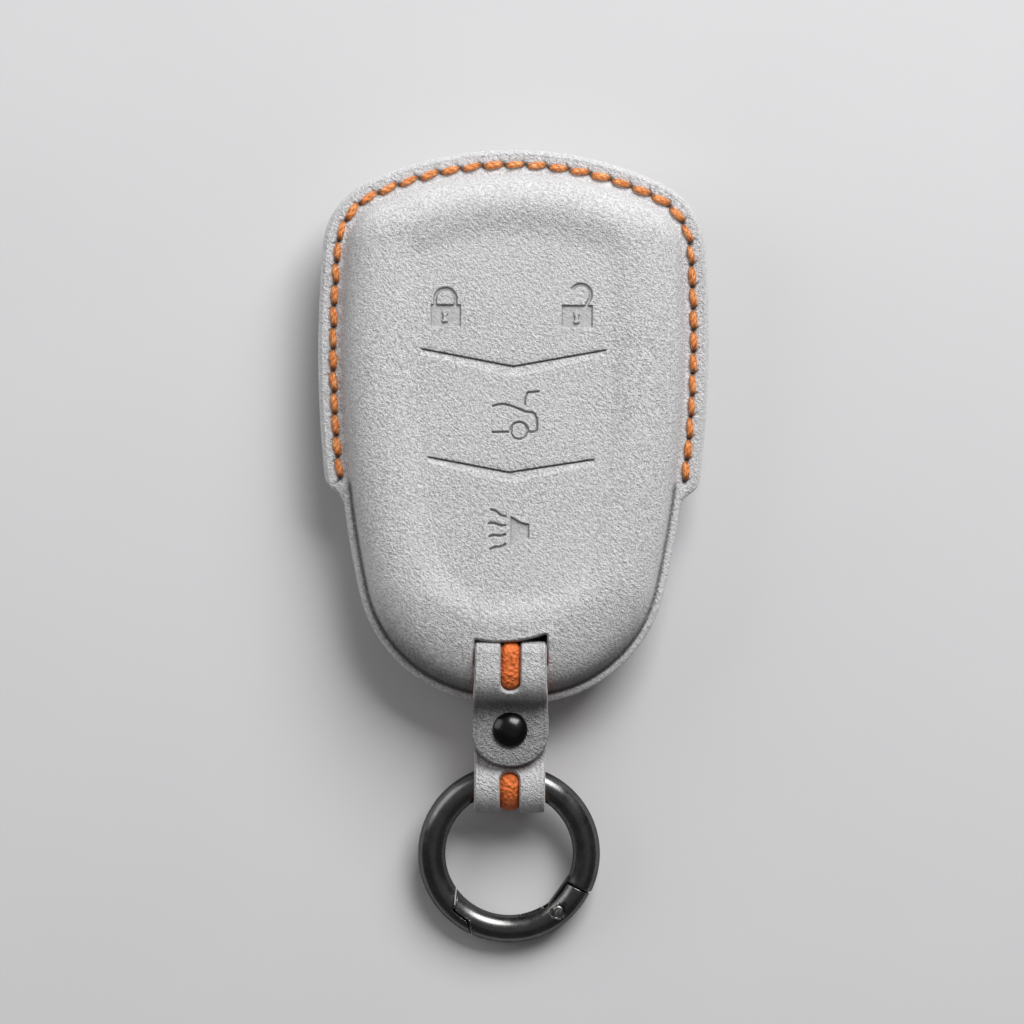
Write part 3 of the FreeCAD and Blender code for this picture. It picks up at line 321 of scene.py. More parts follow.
def trace(arcs, step, inset=0.0):
    """Closed line along arcs drawn in by an inset, without its last point."""
    points = []
    for centre, radius, begin, end, turn in arcs:
        size = radius - turn * inset
        count = max(int(math.ceil(abs(radius * (end - begin)) / step)), 2)
        first, last = (begin, end) if turn > 0 else (end, begin)
        turns = np.linspace(first, last, count, endpoint=False)
        points.append(centre + size * np.column_stack((np.cos(turns), np.sin(turns))))
    return np.vstack(points)


def round_box(low, high, half_width, corner, step, grow=0.0):
    """Closed line round a rectangle about the middle line, with rounded corners."""
    size = corner + grow
    side = half_width - corner
    points = []
    for across, along, begin in ((side, low + corner, -0.5), (side, high - corner, 0.0),
                                 (-side, high - corner, 0.5), (-side, low + corner, 1.0)):
        turns = np.linspace(begin, begin + 0.5, 7) * math.pi
        points.append(np.column_stack((across + size * np.cos(turns), along + size * np.sin(turns))))
    return spread(np.vstack(points), step)


def spread(loop, step):
    """Closed line with points added so that none are further apart than a step."""
    points = []
    for here, there in zip(loop, np.roll(loop, -1, axis=0)):
        count = max(int(math.ceil(math.hypot(*(there - here)) / step)), 1)
        points.extend(here + (there - here) * share for share in np.linspace(0, 1, count, endpoint=False))
    return np.array(points)


def outward(loop):
    """Outward normals of a left-turning closed line."""
    along = np.roll(loop, -1, axis=0) - np.roll(loop, 1, axis=0)
    along /= np.maximum(np.hypot(along[:, 0], along[:, 1]), 1e-9)[:, None]
    return np.column_stack((along[:, 1], -along[:, 0]))


class Nearest:
    """Search for the nearest of many plan points."""

    def __init__(self, places):
        self.tree = KDTree(len(places))
        for index, (x, y) in enumerate(places):
            self.tree.insert((x, y, 0.0), index)
        self.tree.balance()

    def find(self, points):
        """Index of the nearest place to each point."""
        return np.array([self.tree.find((x, y, 0.0))[1] for x, y in points], dtype=int)


class Edge:
    """Closed line that gives each point its depth inside it."""

    def __init__(self, loop):
        self.loop = loop
        self.normals = outward(loop)
        self.nearest = Nearest(loop)

    def depth(self, points):
        """Depth inside the line, and the line's normal, at each point."""
        near = self.nearest.find(points)
        return ((self.loop[near] - points) * self.normals[near]).sum(axis=1), self.normals[near]


def smooth(low, high, values):
    """Smooth step from 0 at one value to 1 at another."""
    share = np.clip((values - low) / (high - low), 0.0, 1.0)
    return share * share * (3 - 2 * share)


def bell(values, middle, width):
    """Bell-shaped weight, 1 at the middle and almost nothing two widths from it."""
    return np.exp(-((values - middle) / width) ** 2)


def in_box(points, box):
    """Whether each point lies between a box's two corners."""
    return ((points > box[0]) & (points < box[1])).all(axis=1)


def quarter(values, radius):
    """Drop of a quarter-round edge, from the full radius at the edge to nothing a radius inside it."""
    share = 1 - np.clip(values / radius, 0.0, 1.0)
    return radius * (1 - np.sqrt(1 - share * share))


def hexagons(box, step):
    """Evenly packed points over a box."""
    low, high = box
    rows = np.arange(low[1], high[1], step * ROW_PITCH)
    points = []
    for index, row in enumerate(rows):
        columns = np.arange(low[0] + (index % 2) * step / 2, high[0], step)
        points.append(np.column_stack((columns, np.full(len(columns), row))))
    return np.vstack(points)


def segment_distance(points, start, end):
    """Distance of each point to a straight segment."""
    line = end - start
    share = np.clip(((points - start) @ line) / max(line @ line, 1e-9), 0.0, 1.0)
    return np.hypot(*(points - start - share[:, None] * line).T)


def stroke_distance(points, stroke):
    """Distance of each point to a broken line."""
    pairs = zip(stroke, stroke[1:])
    return np.min([segment_distance(points, here, there) for here, there in pairs], axis=0)


def inside_polygon(points, corners):
    """Whether each point lies in a polygon."""
    inside = np.zeros(len(points), dtype=bool)
    for (x0, y0), (x1, y1) in zip(corners, np.roll(corners, -1, axis=0)):
        crosses = (y0 > points[:, 1]) != (y1 > points[:, 1])
        with np.errstate(divide="ignore", invalid="ignore"):
            reach = x0 + (points[:, 1] - y0) / (y1 - y0) * (x1 - x0)
        inside ^= crosses & (points[:, 0] < reach)
    return inside


# Meshes

def object_of(name, mesh):
    """Adds a mesh to the scene as an object at the origin."""
    piece = bpy.data.objects.new(name, mesh)
    bpy.context.scene.collection.objects.link(piece)
    return piece


def triangles(points, loops):
    """Triangles of a plan inside its first loop and outside the others, the loops' points first."""
    edges = []
    base = 0
    for loop in loops:
        edges.extend((base + index, base + (index + 1) % len(loop)) for index in range(len(loop)))
        base += len(loop)
    joined = np.vstack(list(loops) + [points])
    places = [tuple(place) for place in joined]
    verts, _, faces, sources, _, _ = delaunay_2d_cdt(places, edges, [], 1, 1e-7)
    if len(verts) != len(joined):
        raise RuntimeError(f"plan came back with {len(verts)} of {len(joined)} points")
    order = [source[0] for source in sources]
    corners = np.array([[order[index] for index in face] for face in faces])
    middles = joined[corners].mean(axis=1)
    keep = np.ones(len(corners), dtype=bool)
    for loop in loops[1:]:
        keep &= ~inside_polygon(middles, loop)
    return joined, corners[keep]


def face_outwards(mesh):
    """Turns a closed mesh's faces outwards and shades them smooth."""
    shape = bmesh.new()
    shape.from_mesh(mesh)
    bmesh.ops.recalc_face_normals(shape, faces=shape.faces)
    shape.to_mesh(mesh)
    shape.free()
    mesh.shade_smooth()


def shell(name, loops, upper, lower, lift, drop):
    """Closed piece over a plan: a fine upper skin and a plain lower skin, joined along the plan's loops.

    lift and drop give each plan point its place in millimetres, lift with its shade and edge wear too.
    """
    top_plan, top_faces = triangles(upper, loops)
    low_plan, low_faces = triangles(lower, loops)
    places, shade, wear = lift(top_plan)
    count = len(top_plan)
    verts = np.vstack((places, drop(low_plan))) * MILLI
    faces = [tuple(face) for face in top_faces]
    faces += [tuple(count + index for index in reversed(face)) for face in low_faces]
    base = 0
    for loop in loops:
        size = len(loop)
        for index in range(size):
            here = base + index
            there = base + (index + 1) % size
            faces.append((there, here, count + here, count + there))
        base += size
    mesh = bpy.data.meshes.new(name)
    mesh.from_pydata([tuple(place) for place in verts], [], faces)
    edge = np.zeros(len(verts))
    edge[:count] = wear
    edge[count:count + base] = 1.0
    dark = np.zeros(len(verts))
    dark[:count] = shade
    for label, values in (("shade", dark), ("wear", edge)):
        attribute = mesh.attributes.new(label, "FLOAT", "POINT")
        attribute.data.foreach_set("value", values.astype(np.float32))
    face_outwards(mesh)
    return object_of(name, mesh)


def finish_piece(piece, material, body, nodes):
    """Gives a piece its material and its body, and hides the nodes it stands for."""
    piece.data.materials.clear()
    piece.data.materials.append(material)
    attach(piece, body)
    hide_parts(*nodes)


# Materials

def set_sockets(node, values):
    """Sets a node's inputs to fixed values."""
    for key, value in values.items():
        node.inputs[key].default_value = value


def add_node(tree, kind, values=None, **settings):
    """Adds a node with its inputs and settings."""
    made = tree.nodes.new(kind)
    for key, value in settings.items():
        setattr(made, key, value)
    set_sockets(made, values or {})
    return made


def wired(tree, kind, links, values=None, **settings):
    """Adds a node with its inputs and settings, and links into it."""
    made = add_node(tree, kind, values, **settings)
    for key, source in links.items():
        tree.links.new(source, made.inputs[key])
    return made


def start_material(name):
    """New material with its node tree, its shader and the object's own coordinates."""
    material = bpy.data.materials.new(name)
    material.use_nodes = True
    tree = material.node_tree
    shader = tree.nodes["Principled BSDF"]
    place = add_node(tree, "ShaderNodeTexCoord")
    return material, tree, shader, place.outputs["Object"]


def noise(tree, place, scale, detail, roughness, stretch=None, turn=0.0):
    """Noise on the piece's own coordinates, stretched along one way if asked."""
    if stretch:
        lie = {"Scale": stretch, "Rotation": (0.0, 0.0, turn)}
        mapping = wired(tree, "ShaderNodeMapping", {"Vector": place}, lie, vector_type="TEXTURE")
        place = mapping.outputs["Vector"]
    grain = {"Scale": scale, "Detail": detail, "Roughness": roughness}
    return wired(tree, "ShaderNodeTexNoise", {"Vector": place}, grain).outputs["Fac"]


def span(tree, value, low, high, start=0.0, end=1.0):
    """Maps a value from one span to another, clamped."""
    limits = {"From Min": low, "From Max": high, "To Min": start, "To Max": end}
    return wired(tree, "ShaderNodeMapRange", {"Value": value}, limits).outputs["Result"]


def total(tree, kind, first, second):
    """Sum, product or other of two values, the second a link or a number."""
    links, values = {0: first}, {}
    (values if isinstance(second, (int, float)) else links)[1] = second
    return wired(tree, "ShaderNodeMath", links, values, operation=kind).outputs["Value"]


def blend_colours(tree, share, first, second):
    """Colours mixed by a share, each a link or a colour."""
    links, values = {"Factor": share}, {}
    for socket, colour in ((6, first), (7, second)):
        (links if isinstance(colour, bpy.types.NodeSocket) else values)[socket] = colour
    return wired(tree, "ShaderNodeMix", links, values, data_type="RGBA").outputs[2]


def scaled(colour, factor):
    """A colour made lighter or darker."""
    return tuple(min(part * factor, 1.0) for part in colour[:3]) + (1.0,)


def bump(tree, shader, height, strength, distance):
    """Roughens a shader's surface with a height."""
    size = {"Strength": strength, "Distance": distance}
    raised = wired(tree, "ShaderNodeBump", {"Height": height}, size)
    tree.links.new(raised.outputs["Normal"], shader.inputs["Normal"])


def attribute(tree, name):
    """A point attribute of the piece."""
    return add_node(tree, "ShaderNodeAttribute", attribute_name=name).outputs["Fac"]


# Turn of the suede's nap, the middle of its grain's height, and its depth on the panels and the strap
NAP_LEAN = -0.75
GRAIN_MIDDLE = 0.65
PANEL_NAP = 0.0006
STRAP_NAP = 0.0009


def suede_material(name, colour, shade_colour, relief):
    """Napped suede: pebbled grain, slanted fibres, flecks, painted shade from the shade attribute and
    burnished edges.
    """
    material, tree, shader, place = start_material(name)
    shade = attribute(tree, "shade")
    wear = attribute(tree, "wear")
    fibres = noise(tree, place, 2500.0, 3.0, 0.6, (1.5, 1.0, 1.2), NAP_LEAN)
    flecks = noise(tree, place, 4700.0, 2.0, 0.5)
    pebbles = noise(tree, place, 1750.0, 2.0, 0.5, (1.25, 1.0, 1.1), NAP_LEAN)
    mottle = noise(tree, place, 520.0, 3.0, 0.55)
    cloud = noise(tree, place, 55.0, 2.0, 0.5)
    tone = span(tree, total(tree, "ADD", fibres, flecks), 0.78, 1.2)
    nap = blend_colours(tree, tone, scaled(colour, 0.5), scaled(colour, 1.28))
    nap = blend_colours(tree, span(tree, mottle, 0.3, 0.7, 0.0, 0.3), nap, scaled(colour, 0.84))
    nap = blend_colours(tree, span(tree, cloud, 0.35, 0.65, 0.0, 0.3), nap, scaled(colour, 1.08))
    patchy = total(tree, "MULTIPLY", wear, span(tree, mottle, 0.3, 0.6, 0.6, 1.0))
    worn = span(tree, patchy, 0.0, 1.0, 0.0, 0.55)
    nap = blend_colours(tree, worn, nap, scaled(colour, 0.78))
    # Painted shade: the nap darkened towards the shade colour where the shade attribute is set
    nap = blend_colours(tree, span(tree, shade, 0.0, 1.0), nap, shade_colour)
    tree.links.new(nap, shader.inputs["Base Color"])
    tree.links.new(span(tree, wear, 0.0, 1.0, 0.96, 0.7), shader.inputs["Roughness"])
    set_sockets(shader, {"Specular IOR Level": 0.22, "Sheen Weight": 0.12, "Sheen Roughness": 0.6})
    height = total(tree, "MULTIPLY", fibres, 0.55)
    for layer, share in ((flecks, 0.35), (pebbles, 0.25), (mottle, 0.15)):
        height = total(tree, "ADD", height, total(tree, "MULTIPLY", layer, share))
    calm = span(tree, wear, 0.0, 1.0, 1.0, 0.3)
    ruffled = span(tree, shade, 0.05, 0.5, 0.0, 1.1)
    ruffled = total(tree, "MULTIPLY", total(tree, "SUBTRACT", height, GRAIN_MIDDLE), ruffled)
    grain = total(tree, "ADD", total(tree, "MULTIPLY", height, calm), ruffled)
    bump(tree, shader, grain, 1.0, relief)
    return material


def grained_material(name, colour):
    """Grained lining leather: pebbles, pores, slow colour change, painted shade and a soft gloss."""
    material, tree, shader, place = start_material(name)
    pebbles = wired(tree, "ShaderNodeTexVoronoi", {"Vector": place}, {"Scale": 1700.0, "Randomness": 1.0},
                    feature="SMOOTH_F1").outputs["Distance"]
    pores = noise(tree, place, 3200.0, 2.0, 0.5)
    cloud = noise(tree, place, 260.0, 3.0, 0.55)
    hide = blend_colours(tree, span(tree, cloud, 0.3, 0.7), scaled(colour, 0.88), scaled(colour, 1.14))
    pits = span(tree, pebbles, 0.35, 0.75, 0.0, 0.55)
    hide = blend_colours(tree, pits, hide, scaled(colour, 0.42))
    # Painted shade on the lining at the windows' edges, from the shade attribute
    hide = blend_colours(tree, span(tree, attribute(tree, "shade"), 0.0, 1.0, 0.0, 0.85), hide,
                         scaled(colour, 0.2))
    tree.links.new(hide, shader.inputs["Base Color"])
    tree.links.new(span(tree, pores, 0.3, 0.7, 0.5, 0.72), shader.inputs["Roughness"])
    set_sockets(shader, {"Specular IOR Level": 0.35})
    height = total(tree, "SUBTRACT", total(tree, "MULTIPLY", pores, 0.35), pebbles)
    bump(tree, shader, height, 0.9, 0.0005)
    return material


# Colour of painted highlights on the thread's pale fibres
THREAD_HIGHLIGHT = (0.95, 0.52, 0.24, 1.0)


def thread_material(name, colour):
    """Waxed twisted thread: plies from the stitch's own lengthwise map, fuzz, painted highlights on random
    fibres, painted shade at its ends and a soft gloss.
    """
    material, tree, shader, place = start_material(name)
    along = add_node(tree, "ShaderNodeUVMap", uv_map="plies").outputs["UV"]
    ends = add_node(tree, "ShaderNodeUVMap", uv_map="ends").outputs["UV"]
    plies = wired(tree, "ShaderNodeTexWave", {"Vector": along},
                  {"Scale": 1.0, "Distortion": 0.6, "Detail": 1.0},
                  wave_type="BANDS", bands_direction="X").outputs["Fac"]
    fuzz = noise(tree, place, 5200.0, 3.0, 0.6)
    cloud = noise(tree, place, 300.0, 2.0, 0.5)
    twist = wired(tree, "ShaderNodeSeparateXYZ", {"Vector": along}).outputs["X"]
    apart = wired(tree, "ShaderNodeSeparateXYZ", {"Vector": ends}).outputs
    lie = {socket: total(tree, "MULTIPLY", value, times)
           for socket, value, times in (("X", twist, 2.2), ("Y", apart["Y"], 6.0), ("Z", cloud, 14.0))}
    strands = wired(tree, "ShaderNodeCombineXYZ", lie).outputs["Vector"]
    fibres = noise(tree, strands, 1.0, 2.0, 0.6)
    strand = blend_colours(tree, span(tree, plies, 0.0, 1.0), scaled(colour, 0.78), scaled(colour, 1.1))
    strand = blend_colours(tree, span(tree, fibres, 0.47, 0.33, 0.0, 0.85), strand, scaled(colour, 0.22))
    # Painted highlights on random fibres
    strand = blend_colours(tree, span(tree, fibres, 0.52, 0.64, 0.0, 0.9), strand, THREAD_HIGHLIGHT)
    # Painted shade at the stitch's ends, where it dives into the holes
    end_shade = span(tree, apart["X"], 0.5, 1.0, 0.0, 0.9)
    strand = blend_colours(tree, end_shade, strand, scaled(colour, 0.12))
    tree.links.new(strand, shader.inputs["Base Color"])
    tree.links.new(span(tree, fuzz, 0.3, 0.7, 0.5, 0.75), shader.inputs["Roughness"])
    set_sockets(shader, {"Sheen Weight": 0.1})
    height = total(tree, "ADD", plies, total(tree, "MULTIPLY", fuzz, 0.5))
    bump(tree, shader, height, 0.5, 0.00012)
    return material


def metal_material(name, colour, roughness, streak, wear, lacquer=0.0):
    """Satin metal: fine brushed streaks, cloudy plating, pale rubbed spots, painted shade in narrow gaps
    and a clear lacquer.
    """
    material, tree, shader, place = start_material(name)
    streaks = noise(tree, place, 900.0, 3.0, 0.6, streak)
    cloud = noise(tree, place, 240.0, 4.0, 0.6)
    specks = noise(tree, place, 1900.0, 2.0, 0.5)
    plate = blend_colours(tree, span(tree, cloud, 0.3, 0.7), scaled(colour, 0.8), scaled(colour, 1.25))
    rubbed = span(tree, specks, 0.66, 0.78, 0.0, wear)
    plate = blend_colours(tree, rubbed, plate, scaled(colour, 2.2))
    # Painted shade on faces that look across narrow gaps
    gap_shade = span(tree, attribute(tree, "shade"), 0.0, 1.0, 0.0, 0.9)
    plate = blend_colours(tree, gap_shade, plate, scaled(colour, 0.05))
    tree.links.new(plate, shader.inputs["Base Color"])
    grain = span(tree, total(tree, "ADD", streaks, cloud), 0.7, 1.3, roughness - 0.06, roughness + 0.08)
    tree.links.new(grain, shader.inputs["Roughness"])
    set_sockets(shader, {"Metallic": 1.0, "Specular Tint": (0.3, 0.3, 0.3, 1.0), "Coat Weight": lacquer,
                         "Coat Roughness": 0.2})
    bump(tree, shader, streaks, 0.08, 0.00005)
    return material


# Panels

def mark_strokes():
    """Pressed line marks on the front face, each with its half width."""
    def arch(x, y, radius, begin, end):
        """Arc between two angles in degrees, as a broken line."""
        turns = np.radians(np.linspace(begin, end, 17))
        return np.column_stack((x + radius * np.cos(turns), y + radius * np.sin(turns)))

    shut = np.vstack(((-9.4, 19.3), arch(-11.05, 20.33, 1.65, 0, 180), (-12.7, 19.3)))
    open_ring = np.vstack((arch(10.8, 21.2, 1.62, 145, -25), (11.7, 19.4)))
    roof = np.array(((-3.23, 3.12), (-2.5, 3.31), (-1.53, 3.43), (-0.56, 3.22), (0.4, 2.91), (1.53, 2.43),
                     (2.02, 2.22), (3.15, 2.1), (3.55, 1.83), (3.82, 1.22), (3.92, 0.09), (3.9, -0.72),
                     (3.6, -1.0), (2.66, -1.04)))
    sill = np.array(((-0.73, -1.04), (-3.23, -1.12)))
    lid = np.array(((1.94, 3.39), (1.89, 4.28), (2.34, 5.33), (4.11, 5.49)))
    strokes = [(shut, 0.29), (open_ring, 0.29), (roof, 0.17), (sill, 0.17), (lid, 0.16),
               (arch(1.03, -0.93, 1.47, 5, 172), 0.16), (arch(1.03, -0.93, 1.27, 150, 400), 0.12)]
    for start, end in (((-3.36, -13.65), (-1.05, -14.7)), ((-3.68, -15.85), (-1.12, -16.1)),
                       ((-3.62, -17.97), (-1.12, -17.6)), ((-3.42, -20.05), (-1.12, -19.2))):
        start = np.array(start)
        line = np.array(end) - start
        side = np.array((-line[1], line[0])) / math.hypot(*line)
        shares = np.linspace(0, 1, 13)
        wave = start + shares[:, None] * line + 0.13 * np.sin(shares * 2 * math.pi)[:, None] * side
        strokes.append((wave, 0.18))
    return strokes


def mark_fields():
    """Pressed filled marks on the front face: two lock bodies and a horn."""
    return [np.array(((-13.4, 15.95), (-8.55, 15.95), (-8.55, 19.44), (-13.4, 19.44))),
            np.array(((7.76, 15.92), (12.71, 15.92), (12.71, 19.5), (7.76, 19.5))),
            np.array(((-0.21, -19.42), (0.89, -18.62), (1.86, -18.3), (2.77, -18.27), (2.77, -15.88),
                      (1.86, -15.8), (0.89, -15.32), (-0.21, -14.59)))]


def mark_islands():
    """Keyholes left standing in the lock bodies, as broken lines with half widths."""
    islands = []
    for x, y in ((-11.1, 18.15), (10.14, 18.13)):
        islands.append((np.array(((x, y), (x, y + 0.01))), 0.42))
        islands.append((np.array(((x, y), (x, y - 1.0))), 0.24))
        islands.append((np.array(((x - 0.18, y - 1.3), (x + 0.18, y - 1.3))), 0.24))
    return islands


def mark_distance(points):
    """Signed distance to the nearest edge of the pressed marks, negative inside them."""
    nearest = np.full(len(points), FAR)
    for stroke, half in mark_strokes():
        nearest = np.minimum(nearest, stroke_distance(points, stroke) - half)
    for field in mark_fields():
        gap = stroke_distance(points, np.vstack((field, field[:1])))
        nearest = np.minimum(nearest, np.where(inside_polygon(points, field), -gap, gap))
    for island, half in mark_islands():
        nearest = np.maximum(nearest, half - stroke_distance(points, island))
    return nearest


def crease_lines():
    """The two pressed lines across the front face."""
    return (np.array(((-14.95, 12.3), (0.05, 9.57), (15.05, 12.37))),
            np.array(((-13.77, -5.13), (-0.5, -7.53), (13.3, -5.3))))


def crease_drop(points):
    """Depth and shade of the pressed lines, each with a sunk slope below it."""
    drop = np.zeros(len(points))
    shade = np.zeros(len(points))
    for line in crease_lines():
        level = np.interp(points[:, 0], line[:, 0], line[:, 1])
        below = level - points[:, 1]
        inset = np.minimum(points[:, 0] - line[0, 0], line[-1, 0] - points[:, 0])
        within = smooth(-0.05, 0.25, inset)
        slope = 0.7 + 0.8 * np.clip(inset / 13.0, 0.0, 1.0)
        ramp = (1 - 0.62 * np.clip(below / slope, 0, 1)) * smooth(slope + 0.22, slope - 0.08, below)
        drop += within * 0.42 * ramp * smooth(-0.12, 0.04, below)
        drop += within * 0.08 * bell(below, 0.05, 0.14)
        shade += within * (0.85 * bell(below, 0.02, 0.1) + 0.12 * bell(below, -0.35, 0.35))
    return drop, shade


def stitch_route(step=0.15):
    """Seam line from the left ear over the top to the right ear."""
    radius, centre, joints = bulge_frame()
    reach = SEAM_FLANGE - SEAM_INSET
    hub = centre["side"]
    low = math.asin((-EAR_DROP - SEAM_TAIL - hub[1]) / (SIDE_ARC + SEAM_FLANGE))
    right = [(centre["top"], radius["top"], math.pi / 2, joints["top_corner"]),
             (centre["corner"], radius["corner"], joints["top_corner"], joints["corner_side"]),
             (hub, radius["side"], joints["corner_side"], low)]
    points = []
    for middle, size, begin, end in right:
        turns = np.linspace(begin, end, int(abs(end - begin) * size / step) + 2)[:-1]
        points.append(middle + (size + reach) * np.column_stack((np.cos(turns), np.sin(turns))))
    half = np.vstack(points)
    return np.vstack((half[:0:-1] * np.array((-1, 1)), half))


def along_route(route, runs):
    """Points of an open line at the given lengths along it."""
    lengths = np.concatenate(((0.0,), np.cumsum(np.hypot(*np.diff(route, axis=0).T))))
    return np.column_stack([np.interp(runs, lengths, route[:, axis]) for axis in (0, 1)]), lengths[-1]


def stitch_holes():
    """Places where the thread dives into the leather, and the way each needle slit runs."""
    count = bpy.context.scene.fob_stitch.count
    route = stitch_route()
    _, length = along_route(route, np.zeros(1))
    runs = np.linspace(0, length, count + 1)
    places = along_route(route, runs)[0]
    ahead = along_route(route, runs + 0.2)[0] - along_route(route, runs - 0.2)[0]
    ahead /= np.hypot(*ahead.T)[:, None]
    ways = 0.8 * np.column_stack((-ahead[:, 1], ahead[:, 0])) - 0.6 * ahead
    return places, ways


def slot_wave(across):
    """Uneven rise of the front slot's upper edge, highest at its right corner."""
    return 0.0267 * across ** 2 + 0.0897 * across - 0.037


def slot_line(slot, front, step, grow=0.0):
    """Closed edge of a strap slot, with its uneven upper edge at the front."""
    loop = round_box(slot[0], slot[1], SLOT_HALF_WIDTH, SLOT_CORNER, step, grow)
    if front:
        loop[:, 1] += smooth(slot[0], slot[1], loop[:, 1]) * slot_wave(loop[:, 0])
    return loop


class PanelForm:
    """Surface of one moulded panel, as heights above the seam."""

    LENGTHS = ("leather", "rise", "side_round", "top_round", "end_round", "dish_depth", "mark_depth",
               "edge_round")
    # Shifts of the wall and their weights, which add up to 3.4
    SOFTENING = ((-0.8, 0.1), (-0.55, 0.4), (-0.28, 0.7), (0.0, 1.0), (0.28, 0.7), (0.55, 0.4),
                 (0.8, 0.1))

    def __init__(self, sizes, slot, front):
        self.sizes = {name: getattr(sizes, name) * PER_METRE for name in self.LENGTHS}
        self.front = front
        self.slot_range = slot
        self.slot_loop = slot_line(slot, front, 0.3)
        self.bulge = Edge(trace(bulge_arcs(), 0.08))
        self.rim = Edge(trace(flange_arcs(), 0.08))
        self.slot = Edge(slot_line(slot, front, 0.05))
        self.dish = Edge(trace(bulge_arcs(*DISH_INSETS), 0.1))
        self.hole_places, self.hole_ways = stitch_holes()
        self.holes = Nearest(self.hole_places)

    def wall(self, depth, normals, wall):
        """Height of the rounded wall, drawn in by a wall thickness."""
        up = smooth(0.0, 1.0, normals[:, 1])
        down = smooth(0.0, 1.0, -normals[:, 1])
        size = self.sizes
        reach = size["side_round"] + (size["top_round"] - size["side_round"]) * up
        reach = reach + (size["end_round"] - size["side_round"]) * down - wall
        share = 1 - np.clip((depth - wall) / reach, 0.0, 1.0)
        return (size["rise"] - wall) * np.sqrt(1 - share * share)

    def swell(self, depth, normals):
        """Height of the bulge's outside, softened where leather is drawn over its foot and shoulder."""
        height = 0.0
        for shift, weight in self.SOFTENING:
            height = height + weight / 3.4 * self.wall(depth + shift, normals, 0.0)
        return height

    def hole_distance(self, points):
        """Distance of each point to the nearest needle slit, along it and across it."""
        near = self.holes.find(points)
        away = points - self.hole_places[near]
        ways = self.hole_ways[near]
        return (away * ways).sum(axis=1), away[:, 0] * ways[:, 1] - away[:, 1] * ways[:, 0]

    def upper(self, points):
        """Places of the outer skin, with its shade and edge wear."""
        depth, normals = self.bulge.depth(points)
        edge, _ = self.rim.depth(points)
        slot = -self.slot.depth(points)[0]
        height = self.sizes["leather"] + self.swell(depth, normals)
        shade = np.zeros(len(points))
        wear = np.zeros(len(points))
        sewn = smooth(-EAR_DROP - 2.0, -EAR_DROP, points[:, 1])
        rounded = self.sizes["edge_round"]
        height -= quarter(edge, rounded)
        self.press_rim(height, shade, edge, depth, sewn)
        self.shade_foot(shade, depth, normals)
        self.press_seam(height, shade, points, depth)
        if self.front:
            self.press_dish(height, points, slot)
            self.press_face(height, shade, wear, points)
        height -= quarter(slot, 0.4)
        # Painted shadow along the slot's edges
        shade += 0.35 * bell(slot, 0.0, 0.25)
        wear = np.maximum(wear, (0.3 + 0.7 * sewn) * smooth(rounded * 1.15, rounded * 0.4, edge))
        wear = np.maximum(wear, smooth(0.35, 0.1, slot))
        return self.placed(points, height), np.clip(shade, 0, 0.95), wear

    @staticmethod
    def press_rim(height, shade, edge, depth, sewn):
        """Sinks the line along the sewn edge, and the fold between the loose lip and the bulge, with
        painted shade in both.
        """
        height -= sewn * 0.03 * bell(edge, EDGE_LINE, 0.13)
        shade += sewn * 0.06 * bell(edge, EDGE_LINE, 0.12)
        height -= (1 - sewn) * 0.42 * bell(depth, -0.3, 0.26)
        shade += (1 - sewn) * 0.9 * bell(depth, -0.25, 0.28)

    @staticmethod
    def shade_foot(shade, depth, normals):
        """Paints shade on the strap end's wall where it faces down the cover, darkest towards its foot."""
        under = smooth(0.2, 0.9, -normals[:, 1])
        foot = 0.42 * smooth(4.6, 0.2, depth) + 0.25 * smooth(2.4, 0.2, depth)
        shade += under * foot * smooth(-0.6, -0.1, depth)

    def press_seam(self, height, shade, points, depth):
        """Sinks the groove that the stitches lie in, and the needle's holes and slits, with painted shade
        in the holes, the slits and along the groove.
        """
        seam = np.abs(depth + SEAM_FLANGE - SEAM_INSET)
        above = smooth(-EAR_DROP - 1.6, -EAR_DROP - 0.6, points[:, 1])
        height -= above * SEAM_GROOVE * bell(seam, 0.0, 0.5)
        along, across = self.hole_distance(points)
        hole = np.exp(-(along ** 2 + across ** 2) / 0.36 ** 2)
        slit = bell(along, 0.55, 0.65) * bell(across, 0.0, 0.14)
        height -= 0.4 * np.maximum(hole, 0.7 * slit)
        shade += 0.9 * np.maximum(hole, 0.9 * slit) + above * 0.06 * bell(seam, 0.0, 0.6)

    def press_dish(self, height, points, slot):
        """Sinks the dish, and lifts the leather that the strap pushes up above the slot."""
        depth, way = self.dish.depth(points)
        reach = 1.3 + 1.2 * smooth(0.0, 1.0, -way[:, 1]) + 1.3 * smooth(0.0, 1.0, way[:, 1])
        height -= self.sizes["dish_depth"] * smooth(0.0, 1.0, (depth + reach) / (reach + 2.7))
        flap = smooth(-35.3, -34.7, points[:, 1]) * bell(slot, 0.0, 0.9)
        height += flap * (0.16 + 0.022 * np.clip(points[:, 0], -6.0, 6.0))

    def press_face(self, height, shade, wear, points):
        """Sinks the two lines and the button marks, with painted shade in the lines and along the marks'
        edges, and a darker fill in the marks.
        """
        near = in_box(points, PRESSED_BOX)
        drop, dark = crease_drop(points[near])
        gap = mark_distance(points[near])
        drop += self.sizes["mark_depth"] * smooth(0.07, -0.07, gap)
        dark += 0.22 * bell(gap, -0.03, 0.09) + 0.14 * smooth(0.0, -0.12, gap)
        height[near] -= drop
        shade[near] += dark
        wear[near] = smooth(0.0, -0.15, gap)

